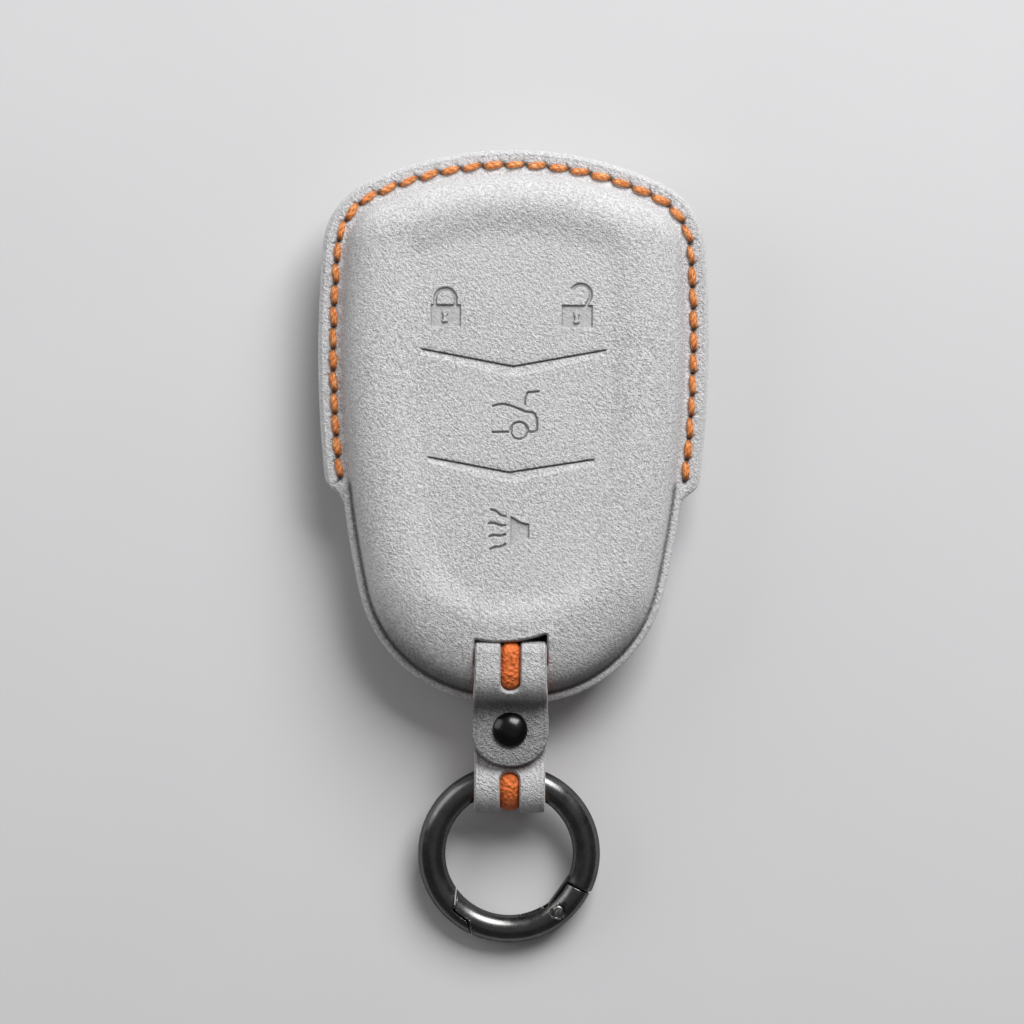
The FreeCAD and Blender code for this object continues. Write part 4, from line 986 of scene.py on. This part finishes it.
    def lower(self, points):
        """Places of the inner skin."""
        depth, normals = self.bulge.depth(points)
        edge, _ = self.rim.depth(points)
        leather = self.sizes["leather"]
        hollow = smooth(leather - 0.1, leather + 0.25, depth)
        height = hollow * (leather + self.wall(depth, normals, leather))
        flat = 0.4 * smooth(-EAR_DROP - 6.8, -EAR_DROP - 7.2, points[:, 1])
        height = np.maximum(height, flat) + quarter(edge, 0.25) * (1 - hollow)
        if self.front:
            slot = -self.slot.depth(points)[0]
            thin = smooth(1.5, 0.5, slot) * (points[:, 1] > self.slot_range[1] - 0.6)
            under = self.upper(points)[0][:, 2] - SEAM_HEIGHT - 0.5
            height = height + thin * np.maximum(under - height, 0.0)
        return self.placed(points, height)

    def placed(self, points, height):
        """Points with their heights, above the seam at the front and below it at the back."""
        up = SEAM_HEIGHT + (height if self.front else -height)
        return np.column_stack((points, up))

    def plan_points(self):
        """Plan points of the outer skin: even over the face, and denser where it bends or is marked."""
        kept = []
        for points, fine in ((hexagons(PANEL_BOX, 0.66), False), (hexagons(PANEL_BOX, 0.36), True)):
            edge, _ = self.rim.depth(points)
            depth, _ = self.bulge.depth(points)
            slot = -self.slot.depth(points)[0]
            bent = (depth > -1.0) & (depth < 3.0)
            inside = (edge > EDGE_BAND) & (slot > 0.62) & ~self.sewn(points) & ~self.detailed(points)
            kept.append(points[inside & (bent if fine else ~bent)])
        seam = hexagons(PANEL_BOX, 0.21)
        seam = seam[self.sewn(seam)]
        kept.append(seam[self.rim.depth(seam)[0] > EDGE_BAND])
        if self.front:
            field = hexagons(FIELD_BOX, 0.2)
            sloped = self.creased(field, SLOPE_SPAN) & ~self.creased(field, LINE_SPAN)
            kept.append(field[sloped & ~self.marked(field)])
            line = hexagons(LINE_BOX, 0.1)
            kept.append(line[self.creased(line, LINE_SPAN) & ~self.marked(line)])
            field = hexagons(MARK_BOX, 0.12)
            kept.append(field[self.marked(field)])
        arcs = flange_arcs()
        kept.extend(trace(arcs, 0.3, inset) for inset in EDGE_RINGS)
        kept.extend(slot_line(self.slot_range, self.front, 0.25, grow) for grow in SLOT_RINGS)
        return np.vstack(kept)

    def sewn(self, points):
        """Whether points lie along the stitch line."""
        found = points[:, 1] > SEAM_END
        depth, _ = self.bulge.depth(points[found])
        found[found] = np.abs(depth + SEAM_FLANGE - SEAM_INSET) < SEAM_BAND
        return found

    def creased(self, points, reach):
        """Whether points lie between two depths below a pressed line."""
        low, high = reach
        found = np.zeros(len(points), dtype=bool)
        for line in crease_lines():
            below = np.interp(points[:, 0], line[:, 0], line[:, 1]) - points[:, 1]
            found |= (below > low) & (below < high) & (np.abs(points[:, 0]) < abs(line[0, 0]) + 0.8)
        return found

    def marked(self, points):
        """Whether points lie at the edge of a pressed mark."""
        near = in_box(points, MARK_SEARCH)
        found = np.zeros(len(points), dtype=bool)
        found[near] = np.abs(mark_distance(points[near])) < 0.34
        return found

    def detailed(self, points):
        """Whether points lie where the front's denser points go."""
        if not self.front:
            return np.zeros(len(points), dtype=bool)
        return self.creased(points, SLOPE_SPAN) | self.marked(points)

    def build(self, name):
        """Makes the panel's mesh."""
        loops = [trace(flange_arcs(), 0.3), self.slot_loop]
        plain = hexagons(PANEL_BOX, 1.1)
        edge, _ = self.rim.depth(plain)
        slot = -self.slot.depth(plain)[0]
        plain = [plain[(edge > 0.8) & (slot > 0.6)]]
        plain += [trace(flange_arcs(), 0.4, inset) for inset in (0.12, 0.3)]
        return shell(name, loops, self.plan_points(), np.vstack(plain), self.upper, self.lower)


class FOB_OT_panels(bpy.types.Operator):
    """Builds the moulded front and back of the cover"""
    bl_idname = "fob.panels"
    bl_label = "Panels"

    def execute(self, context):
        sizes = context.scene.fob_cover
        suede = suede_material("light_suede", tuple(sizes.suede), tuple(sizes.shade_colour), PANEL_NAP)
        for name, slot, front in (("cover_front", FRONT_SLOT, True), ("cover_back", BACK_SLOT, False)):
            piece = PanelForm(sizes, slot, front).build(name)
            finish_piece(piece, suede, "cover", ["front_panel" if front else "back_panel"])
        return {"FINISHED"}


# Stitches

def stitch_bead(sizes):
    """One stitch along X: a twisted thread that dives at both ends."""
    length = sizes.length
    half = sizes.width / 2
    around = 10
    along = 14
    verts = []
    rows = []
    for index in range(along + 1):
        share = -1 + 2 * index / along
        thick = half * max(1 - abs(share) ** 4, 0.0) ** 0.5 * 0.85 + half * 0.15
        rise = half * (0.74 - 1.15 * abs(share) ** 3)
        row = []
        for turn in range(around):
            angle = 2 * math.pi * turn / around
            ply = 1 + 0.07 * math.cos(2 * (angle - 2.6 * share))
            row.append(len(verts))
            verts.append((share * length / 2, thick * ply * math.cos(angle),
                          rise + 0.82 * thick * ply * math.sin(angle)))
        rows.append(row)
    faces = []
    for here, there in zip(rows, rows[1:]):
        for turn in range(around):
            following = (turn + 1) % around
            faces.append((here[turn], there[turn], there[following], here[following]))
    faces.append(tuple(rows[0]))
    faces.append(tuple(reversed(rows[-1])))
    mesh = bpy.data.meshes.new("stitch_bead")
    mesh.from_pydata(verts, [], faces)
    plies = mesh.uv_layers.new(name="plies")
    ends = mesh.uv_layers.new(name="ends")
    for loop in mesh.loops:
        x, y, z = mesh.vertices[loop.vertex_index].co
        plies.data[loop.index].uv = (x / length + y / sizes.width * 0.32, z / sizes.width)
        ends.data[loop.index].uv = (abs(2 * x / length), y / sizes.width)
    face_outwards(mesh)
    return object_of("stitch_bead", mesh)


def row_of_stitches():
    """Node tree that sets beads along a seam line, slanted and a little uneven."""
    tree = bpy.data.node_groups.new("row_of_stitches", "GeometryNodeTree")
    for name, kind in (("Geometry", "Geometry"), ("Bead", "Object"), ("Count", "Int"), ("Slant", "Float"),
                       ("Wander", "Float"), ("Seed", "Int"), ("Thread", "Material")):
        tree.interface.new_socket(name=name, in_out="INPUT", socket_type=f"NodeSocket{kind}")
    tree.interface.new_socket(name="Geometry", in_out="OUTPUT", socket_type="NodeSocketGeometry")
    given = tree.nodes.new("NodeGroupInput").outputs
    line = wired(tree, "GeometryNodeMeshToCurve", {"Mesh": given["Geometry"]})
    even = wired(tree, "GeometryNodeResampleCurve",
                 {"Curve": line.outputs["Curve"], "Count": given["Count"]})
    bead = wired(tree, "GeometryNodeObjectInfo", {"Object": given["Bead"]})
    tangent = add_node(tree, "GeometryNodeInputTangent")
    lie = wired(tree, "FunctionNodeAlignRotationToVector", {"Vector": tangent.outputs["Tangent"]},
                axis="X", pivot_axis="Z")
    lowest = total(tree, "MULTIPLY", given["Wander"], -1.0)
    uneven = wired(tree, "FunctionNodeRandomValue",
                   {2: lowest, 3: given["Wander"], "Seed": given["Seed"]}, data_type="FLOAT")
    turn = total(tree, "ADD", given["Slant"], uneven.outputs[1])
    about = wired(tree, "ShaderNodeCombineXYZ", {"Z": turn})
    swing = wired(tree, "FunctionNodeEulerToRotation", {"Euler": about.outputs["Vector"]})
    turned = wired(tree, "FunctionNodeRotateRotation",
                   {"Rotation": lie.outputs["Rotation"], "Rotate By": swing.outputs["Rotation"]},
                   rotation_space="LOCAL")
    size = wired(tree, "FunctionNodeRandomValue", {"Seed": given["Seed"]},
                 {0: (0.93, 0.84, 0.9), 1: (1.02, 1.08, 1.08)}, data_type="FLOAT_VECTOR")
    row = wired(tree, "GeometryNodeInstanceOnPoints",
                {"Points": even.outputs["Curve"], "Instance": bead.outputs["Geometry"],
                 "Rotation": turned.outputs["Rotation"], "Scale": size.outputs[0]})
    whole = wired(tree, "GeometryNodeRealizeInstances", {"Geometry": row.outputs["Instances"]})
    dressed = wired(tree, "GeometryNodeSetMaterial",
                    {"Geometry": whole.outputs["Geometry"], "Material": given["Thread"]})
    wired(tree, "NodeGroupOutput", {"Geometry": dressed.outputs["Geometry"]})
    return tree


def set_inputs(modifier, values):
    """Sets a node modifier's inputs by their sockets' identifiers."""
    for item in modifier.node_group.interface.items_tree:
        if item.item_type == "SOCKET" and item.in_out == "INPUT" and item.name in values:
            modifier[item.identifier] = values[item.name]


class FOB_OT_stitches(bpy.types.Operator):
    """Sews both faces of the flange"""
    bl_idname = "fob.stitches"
    bl_label = "Stitches"

    def execute(self, context):
        sizes = context.scene.fob_stitch
        thread = thread_material("waxed_thread", tuple(sizes.thread))
        route = stitch_route()
        _, length = along_route(route, np.zeros(1))
        pitch = length / sizes.count
        runs = np.linspace(pitch / 2, length - pitch / 2, 12 * sizes.count)
        line, _ = along_route(route, runs)
        level = SEAM_HEIGHT + context.scene.fob_cover.leather * PER_METRE - SEAM_GROOVE
        mesh = bpy.data.meshes.new("stitch_line")
        mesh.from_pydata([(x * MILLI, y * MILLI, level * MILLI) for x, y in line],
                         [(index, index + 1) for index in range(len(line) - 1)], [])
        guide = object_of("stitch_line", mesh)
        bead = stitch_bead(sizes)
        modifier = guide.modifiers.new("Stitches", "NODES")
        modifier.node_group = row_of_stitches()
        set_inputs(modifier, {"Bead": bead, "Count": sizes.count, "Slant": sizes.slant,
                              "Wander": sizes.wander, "Seed": sizes.seed, "Thread": thread})
        graph = context.evaluated_depsgraph_get()
        row = bpy.data.meshes.new_from_object(guide.evaluated_get(graph))
        if not row.polygons:
            raise RuntimeError("the row of stitches came out empty")
        guide.modifiers.remove(modifier)
        bpy.data.objects.remove(guide)
        bpy.data.objects.remove(bead)
        back = row.copy()
        for vertex in back.vertices:
            vertex.co.z = 2 * SEAM_HEIGHT * MILLI - vertex.co.z
        back.flip_normals()
        shape = bmesh.new()
        shape.from_mesh(row)
        shape.from_mesh(back)
        both = bpy.data.meshes.new("seam_stitches")
        shape.to_mesh(both)
        shape.free()
        both.shade_smooth()
        piece = object_of("seam_stitches", both)
        finish_piece(piece, thread, "cover", ["stitch_thread"])
        return {"FINISHED"}


# Strap

class StrapRoute:
    """Side view of the strap, by length along its outer face."""

    def __init__(self, thickness):
        circles = [(np.array((y, z)), radius, turn) for y, z, radius, turn in STRAP_BENDS]
        headings = [math.asin((TIP_REACH + STRAP_BENDS[0][0]) / STRAP_BENDS[0][2])]
        for (here, size, turn), (there, next_size, next_turn) in zip(circles, circles[1:]):
            across = next_turn * next_size - turn * size
            apart = math.hypot(*(there - here))
            run = math.sqrt(max(apart ** 2 - across ** 2, 0.0))
            heading = heading_to(here, there) - math.atan2(across, run)
            while heading - headings[-1] > math.pi:
                heading -= 2 * math.pi
            while heading - headings[-1] < -math.pi:
                heading += 2 * math.pi
            if turn * (heading - headings[-1]) < -1e-9:
                heading += turn * 2 * math.pi
            headings.append(heading)
        headings.append(-2 * math.pi)
        places = []
        turns = []
        for (centre, size, turn), begin, end in zip(circles, headings, headings[1:]):
            count = max(int(abs(end - begin) * (size - turn * thickness) / 0.12), 8)
            for heading in np.linspace(begin, end, count):
                left = np.array((-math.sin(heading), math.cos(heading)))
                places.append(centre - turn * size * left)
                turns.append(heading)
        places.append(np.array(LOOP_END))
        turns.append(-2 * math.pi)
        self.places = np.array(places)
        self.turns = np.array(turns)
        self.left = np.column_stack((-np.sin(self.turns), np.cos(self.turns)))
        outer = self.places + thickness * self.left
        self.runs = np.concatenate(((0.0,), np.cumsum(np.hypot(*np.diff(outer, axis=0).T) + 1e-7)))
        self.outer = outer
        parted = np.argmin(np.hypot(*(self.places - np.array(PARTING)).T))
        self.parting = self.runs[parted]
        self.back = self.parting + BACK_START
        behind = self.runs >= self.back
        self.fold = self.runs[behind][np.argmin(outer[behind, 0])]

    def run_at(self, along, low, high):
        """Length along the strap, between two lengths, where its outer face is at a place."""
        chosen = (self.runs >= low) & (self.runs <= high)
        order = np.argsort(self.outer[chosen, 0])
        return np.interp(along, self.outer[chosen, 0][order], self.runs[chosen][order])

    def lay(self, points, offsets):
        """Places of (length, across) points at offsets above the strap's underside."""
        runs = points[:, 0]
        heading = np.interp(runs, self.runs, self.turns)
        y = np.interp(runs, self.runs, self.places[:, 0]) - np.sin(heading) * offsets
        z = np.interp(runs, self.runs, self.places[:, 1]) + np.cos(heading) * offsets
        return np.column_stack((points[:, 1], y, z))


def capsule(low, high, half, step=0.2):
    """Closed round-ended slot along the strap."""
    turns = np.linspace(-math.pi / 2, math.pi / 2, 15)
    far = np.column_stack((high - half + half * np.cos(turns), half * np.sin(turns)))
    near = np.column_stack((low + half - half * np.cos(turns), -half * np.sin(turns)))
    return spread(np.vstack((far, near)), step)


def ring_of(centre, radius):
    """Closed circle on the strap's plan."""
    turns = np.linspace(0, 2 * math.pi, 20, endpoint=False)
    return np.column_stack((centre + radius * np.cos(turns), radius * np.sin(turns)))


def tongue_plan(route, sizes, end):
    """Closed outline of the tongue on the strap's plan, from its rounded tip to its end in the slot."""
    widest = sizes.flare * PER_METRE / 2
    neck = sizes.neck * PER_METRE / 2
    turns = np.linspace(0, math.pi / 2, 40)
    tip_runs = route.run_at(-TIP_SHOULDER - (TIP_REACH - TIP_SHOULDER) * np.cos(turns), 0, route.parting)
    tip = np.column_stack((tip_runs, widest * np.sin(turns)))
    runs = np.arange(tip[-1, 0] + 0.25, end, 0.25)
    along = np.interp(runs, route.runs, route.outer[:, 0])
    share = smooth(-TIP_SHOULDER, FRONT_SLOT[0], along)
    half = np.where(runs > route.parting, neck, widest + (neck - widest) * share)
    side = np.vstack((tip, np.column_stack((runs, half)), ((end, neck),)))
    lower = side * np.array((1, -1))
    return spread(np.vstack((lower, side[:0:-1])), 0.3)


class StrapLayer:
    """One layer of the strap over a plan with windows."""

    def __init__(self, route, outline, windows, holes, base, thick, rounded, domed):
        self.route = route
        self.outline = Edge(spread(outline, 0.06))
        self.loops = [outline] + ([] if domed else windows) + holes
        self.windows = [Edge(spread(window, 0.06)) for window in windows]
        self.holes = [Edge(spread(hole, 0.06)) for hole in holes]
        self.base = base
        self.thick = thick
        self.rounded = rounded
        self.domed = domed

    def edges(self, points):
        """Distance to the outer edge, and to the nearest window, negative in it."""
        edge = self.outline.depth(points)[0]
        window = np.full(len(points), FAR)
        for opening in self.windows:
            window = np.minimum(window, -opening.depth(points)[0])
        return edge, window

    def upper(self, points):
        """Places of the outer face, with its shade and edge wear."""
        edge, window = self.edges(points)
        offsets = self.base + self.thick - quarter(edge, self.rounded)
        if self.domed:
            bent = smooth(self.route.parting - 3.0, self.route.parting, points[:, 0])
            bent = bent * (points[:, 0] < self.route.parting + 7.0)
            offsets = offsets - 0.04 + (0.45 + 0.28 * bent) * smooth(0.0, -0.9, window)
            # Painted shade on the lining along the windows' edges, under the face's cut edge
            shade = 0.75 * smooth(-0.5, 0.02, window) * (window < 0.6)
            wear = np.zeros(len(points))
        else:
            offsets = offsets - quarter(window, 0.28) + 0.05 * bell(window, 0.75, 0.4)
            # A dark line just inside the face's edges
            shade = 0.16 * bell(edge, 0.75, 0.15)
            wear = np.maximum(smooth(0.3, 0.08, edge), smooth(0.2, 0.04, window))
        places = self.route.lay(points, offsets - self.curl(points))
        if not self.domed:
            shade = shade + self.painted_shadows(points[:, 0], places)
        return places, shade, wear

    def painted_shadows(self, runs, places):
        """Painted shade in the tongue's foot, painted shadow of the bulge on the tongue beyond it, and
        painted shadow on the loop's front under the tongue's tip.
        """
        across, along = places[:, 0], places[:, 1]
        tongue = runs < self.route.parting
        foot = tongue * 0.3 * bell(along, FOOT_REACH, 1.7)
        bulge_shadow = tongue * 0.42 * smooth(FOOT_REACH + 2.0, FOOT_REACH - 2.0, along)
        tip = np.hypot(across / TIP_HALF_WIDTH, (along + TIP_SHOULDER) / (TIP_REACH - TIP_SHOULDER))
        pressed = (runs > self.route.fold) & (along < -TIP_SHOULDER)
        return foot + bulge_shadow + pressed * 0.75 * smooth(1.13, 1.0, tip)

    @staticmethod
    def curl(points):
        """Drop of the strap's two long edges."""
        return 0.1 * (points[:, 1] / 6.0) ** 4

    def lower(self, points):
        """Places of the inner face."""
        edge, _ = self.edges(points)
        return self.route.lay(points, self.base + quarter(edge, 0.15) - self.curl(points))

    def plan_points(self, step):
        """Plan points of a face, kept off the edges, with rings along them."""
        loop = self.outline.loop
        points = hexagons((loop.min(axis=0), loop.max(axis=0)), step)
        edge, window = self.edges(points)
        keep = edge > 0.55
        if not self.domed:
            keep &= window > 0.5
        for hole in self.holes:
            keep &= hole.depth(points)[0] < -0.15
        kept = [points[keep]]
        for inset in STRAP_RINGS:
            kept.append(self.inset(self.loops[0], inset))
            if not self.domed:
                kept.extend(self.inset(loop, -inset) for loop in self.loops[1:1 + len(self.windows)])
        return np.vstack(kept)

    @staticmethod
    def inset(loop, distance):
        """A loop drawn in by a distance."""
        return loop - distance * outward(loop)

    def build(self, name):
        """Makes the layer's mesh."""
        return shell(name, self.loops, self.plan_points(0.24), self.plan_points(0.5), self.upper,
                     self.lower)


class FOB_OT_strap(bpy.types.Operator):
    """Builds the strap's tongue and loop with their lining"""
    bl_idname = "fob.strap"
    bl_label = "Strap"

    def execute(self, context):
        sizes = context.scene.fob_strap
        cover = context.scene.fob_cover
        face = sizes.face * PER_METRE
        lining = sizes.lining * PER_METRE
        half = sizes.window * PER_METRE / 2
        wide = sizes.width * PER_METRE / 2
        rounded = sizes.edge_round * PER_METRE
        route = StrapRoute(face + lining)
        suede = suede_material("strap_suede", tuple(cover.suede), tuple(cover.shade_colour), STRAP_NAP)
        orange = grained_material("orange_lining", tuple(sizes.leather))
        end = route.parting + TONGUE_TAIL
        start = end + 0.05
        last = route.runs[-1]
        on_tongue = (0, route.parting)
        on_back = (route.back, route.fold)
        on_front = (route.fold, last)
        tongue = tongue_plan(route, sizes, end)
        tongue_window = capsule(route.run_at(-TONGUE_WINDOW, *on_tongue), end - 0.4, half)
        loop = spread(np.array(((start, -wide), (last, -wide), (last, wide), (start, wide))), 0.3)
        loop_window = capsule(route.run_at(-LOOP_WINDOW, *on_back), route.run_at(-LOOP_WINDOW, *on_front),
                              half)
        tongue_holes = [ring_of(route.run_at(-SNAP_REACH, *on_tongue), SNAP_HOLE)]
        loop_holes = [ring_of(route.run_at(-SNAP_REACH, *part), SNAP_HOLE)
                      for part in (on_back, on_front)]
        for name, outline, windows, holes, body in (
                ("tongue", tongue, [tongue_window], tongue_holes, "tongue"),
                ("loop", loop, [loop_window], loop_holes, "cover")):
            for layer, base, thick, domed, finish, slot in (
                    ("face", lining, face, False, suede, "suede"),
                    ("lining", 0.0, lining, True, orange, "orange_leather")):
                shape = StrapLayer(route, outline, windows, holes, base, thick, rounded, domed)
                piece = shape.build(f"strap_{name}_{layer}_skin")
                piece.data.materials.append(finish)
                if body == "tongue":
                    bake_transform(piece)
                else:
                    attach(piece, body)
                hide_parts(f"strap_{name}_{layer}")
        return {"FINISHED"}


# Metal

def smooth_copy(node, name, angle):
    """A node's shape with joined faces, smooth but for its sharp edges."""
    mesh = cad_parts[node].data.copy()
    shape = bmesh.new()
    shape.from_mesh(mesh)
    bmesh.ops.remove_doubles(shape, verts=shape.verts, dist=MERGE)
    shape.to_mesh(mesh)
    shape.free()
    mesh.name = name
    piece = object_of(name, mesh)
    bevel = piece.modifiers.new("Broken edges", "BEVEL")
    bevel.width = EDGE_BREAK
    bevel.segments = 2
    bevel.limit_method = "ANGLE"
    bevel.angle_limit = math.radians(angle)
    bevel.use_clamp_overlap = False
    graph = bpy.context.evaluated_depsgraph_get()
    rounded = bpy.data.meshes.new_from_object(piece.evaluated_get(graph))
    piece.modifiers.remove(bevel)
    piece.data = rounded
    rounded.name = name
    rounded.shade_smooth()
    rounded.set_sharp_from_angle(angle=math.radians(SHARP_ANGLE))
    return piece


def shade_gap(piece, nodes, reach=0.0004):
    """Marks the faces that look across a narrow gap at other nodes, where painted shade darkens the
    plating.
    """
    dark = np.zeros(len(piece.data.polygons))
    for node in nodes:
        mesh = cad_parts[node].data
        tree = BVHTree.FromPolygons([vertex.co for vertex in mesh.vertices],
                                    [face.vertices for face in mesh.polygons])
        for face in piece.data.polygons:
            near, _, _, apart = tree.find_nearest(face.center, reach)
            if near is not None and (near - face.center).dot(face.normal) > 0.8 * apart:
                dark[face.index] = 1.0
    marks = piece.data.attributes.new("shade", "FLOAT", "FACE")
    marks.data.foreach_set("value", dark.astype(np.float32))


def coat(node, material):
    """Gives a node its finish."""
    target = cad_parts[node]
    target.data.materials.clear()
    target.data.materials.append(material)


class FOB_OT_snap(bpy.types.Operator):
    """Finishes the snap's cap and its working parts"""
    bl_idname = "fob.snap"
    bl_label = "Snap"

    def execute(self, context):
        look = context.scene.fob_metal
        dark = metal_material("dark_cap", tuple(look.cap), 0.24, (1.0, 1.0, 1.0), 0.1, 0.6)
        cap = smooth_copy("snap_cap", "snap_cap_dome", CAP_EDGES)
        finish_piece(cap, dark, "tongue", ["snap_cap"])
        plated = metal_material("plated_snap", tuple(look.steel), 0.32, (1.0, 1.0, 3.0), 0.3)
        for node in ("snap_socket", "snap_stud", "snap_post"):
            coat(node, plated)
        coat("snap_spring", metal_material("snap_wire", tuple(look.steel), 0.25, (1.0, 1.0, 1.0), 0.2))
        return {"FINISHED"}


class FOB_OT_ring(bpy.types.Operator):
    """Finishes the ring, its gate, hinge pin and leaf spring"""
    bl_idname = "fob.ring"
    bl_label = "Ring"

    def execute(self, context):
        look = context.scene.fob_metal
        satin = metal_material("satin_gunmetal", tuple(look.gunmetal), look.roughness, (1.0, 1.0, 4.0),
                               0.25, 0.25)
        ring = smooth_copy("ring_body", "ring_tube", RING_EDGES)
        shade_gap(ring, ("ring_gate",))
        finish_piece(ring, satin, "ring", ["ring_body"])
        gate = smooth_copy("ring_gate", "gate_tube", RING_EDGES)
        shade_gap(gate, ("ring_body", "gate_pin"))
        finish_piece(gate, satin, "gate", ["ring_gate"])
        pin = smooth_copy("gate_pin", "gate_pin_head", RING_EDGES)
        steel = metal_material("pin_steel", scaled(look.steel, 1.2), 0.38, (1.0, 1.0, 1.0), 0.2)
        finish_piece(pin, steel, "gate", ["gate_pin"])
        coat("gate_spring", metal_material("leaf_steel", tuple(look.steel), 0.28, (1.0, 3.0, 1.0), 0.2))
        return {"FINISHED"}


# Stage

def lamp(name, place, target, size, power):
    """Soft square lamp aimed at a point."""
    light = bpy.data.lights.new(name, "AREA")
    light.shape = "SQUARE"
    light.size = size
    light.energy = power
    thing = bpy.data.objects.new(name, light)
    thing.location = place
    away = Vector(place) - Vector(target)
    thing.rotation_euler = away.to_track_quat("Z", "Y").to_euler()
    bpy.context.scene.collection.objects.link(thing)


def lay_floor(colour):
    """Plain pale floor just under the cover."""
    material, tree, shader, place = start_material("pale_floor")
    tint = noise(tree, place, 30.0, 2.0, 0.5)
    paint = blend_colours(tree, span(tree, tint, 0.3, 0.7), scaled(colour, 0.985), colour)
    tree.links.new(paint, shader.inputs["Base Color"])
    set_sockets(shader, {"Roughness": 0.9, "Specular IOR Level": 0.15})
    mesh = bpy.data.meshes.new("floor")
    corners = ((-1, -1), (1, -1), (1, 1), (-1, 1))
    mesh.from_pydata([(x * FLOOR_HALF, y * FLOOR_HALF, 0) for x, y in corners], [], [(0, 1, 2, 3)])
    mesh.materials.append(material)
    floor = object_of("floor", mesh)
    floor.location.z = FLOOR_LEVEL


def place_camera(look):
    """Camera straight above the cover."""
    view = bpy.data.cameras.new("camera")
    view.sensor_width = SENSOR
    view.lens = SENSOR * look.height / look.framed
    view.clip_start = 0.01
    camera = bpy.data.objects.new("camera", view)
    camera.location = (0.0, look.centre, SEAM_HEIGHT * MILLI + look.height)
    camera.rotation_euler = (0.0, 0.0, look.roll)
    return camera


class FOB_OT_stage(bpy.types.Operator):
    """Sets the floor, the lamps and the camera"""
    bl_idname = "fob.stage"
    bl_label = "Stage"

    def execute(self, context):
        scene = context.scene
        look = scene.fob_stage
        lay_floor(tuple(look.floor))
        scene.world = bpy.data.worlds.new("studio")
        scene.world.use_nodes = True
        set_sockets(scene.world.node_tree.nodes["Background"],
                    {"Color": (1.0, 1.0, 1.0, 1.0), "Strength": look.fill})
        for name, place, size, share in LAMPS:
            lamp(name, place, (0.0, look.centre, 0.01), size, look.key * share)
        scene.camera = place_camera(look)
        scene.collection.objects.link(scene.camera)
        scene.view_settings.view_transform = "Standard"
        return {"FINISHED"}


class FOB_PT_sidebar(bpy.types.Panel):
    """Sizes and steps of the key fob cover"""
    bl_label = "Key fob cover"
    bl_idname = "FOB_PT_sidebar"
    bl_space_type = "VIEW_3D"
    bl_region_type = "UI"
    bl_category = "Fob cover"

    def draw(self, context):
        for group, _, steps in GROUPS:
            box = self.layout.box()
            values = getattr(context.scene, group)
            for name in values.__annotations__:
                box.prop(values, name)
            for step in steps:
                box.operator(step)


# Property groups with the operators that use them, and all the operators with the panel
GROUPS = (("fob_cover", CoverSizes, ("fob.panels",)), ("fob_stitch", StitchSizes, ("fob.stitches",)),
          ("fob_strap", StrapSizes, ("fob.strap",)), ("fob_metal", MetalLook, ("fob.snap", "fob.ring")),
          ("fob_stage", StageLook, ("fob.stage",)))
TOOLS = (FOB_OT_panels, FOB_OT_stitches, FOB_OT_strap, FOB_OT_snap, FOB_OT_ring, FOB_OT_stage,
         FOB_PT_sidebar)


def register():
    """Adds the property groups, the operators and the panel."""
    for name, group, _ in GROUPS:
        bpy.utils.register_class(group)
        setattr(bpy.types.Scene, name, PointerProperty(type=group))
    for tool in TOOLS:
        bpy.utils.register_class(tool)


def unregister():
    """Removes what register adds."""
    for tool in reversed(TOOLS):
        bpy.utils.unregister_class(tool)
    for name, group, _ in reversed(GROUPS):
        delattr(bpy.types.Scene, name)
        bpy.utils.unregister_class(group)


def main():
    """Builds the cover."""
    register()
    bpy.ops.fob.panels()
    bpy.ops.fob.stitches()
    bpy.ops.fob.strap()
    bpy.ops.fob.snap()
    bpy.ops.fob.ring()
    bpy.ops.fob.stage()


if __name__ == "__main__":
    main()
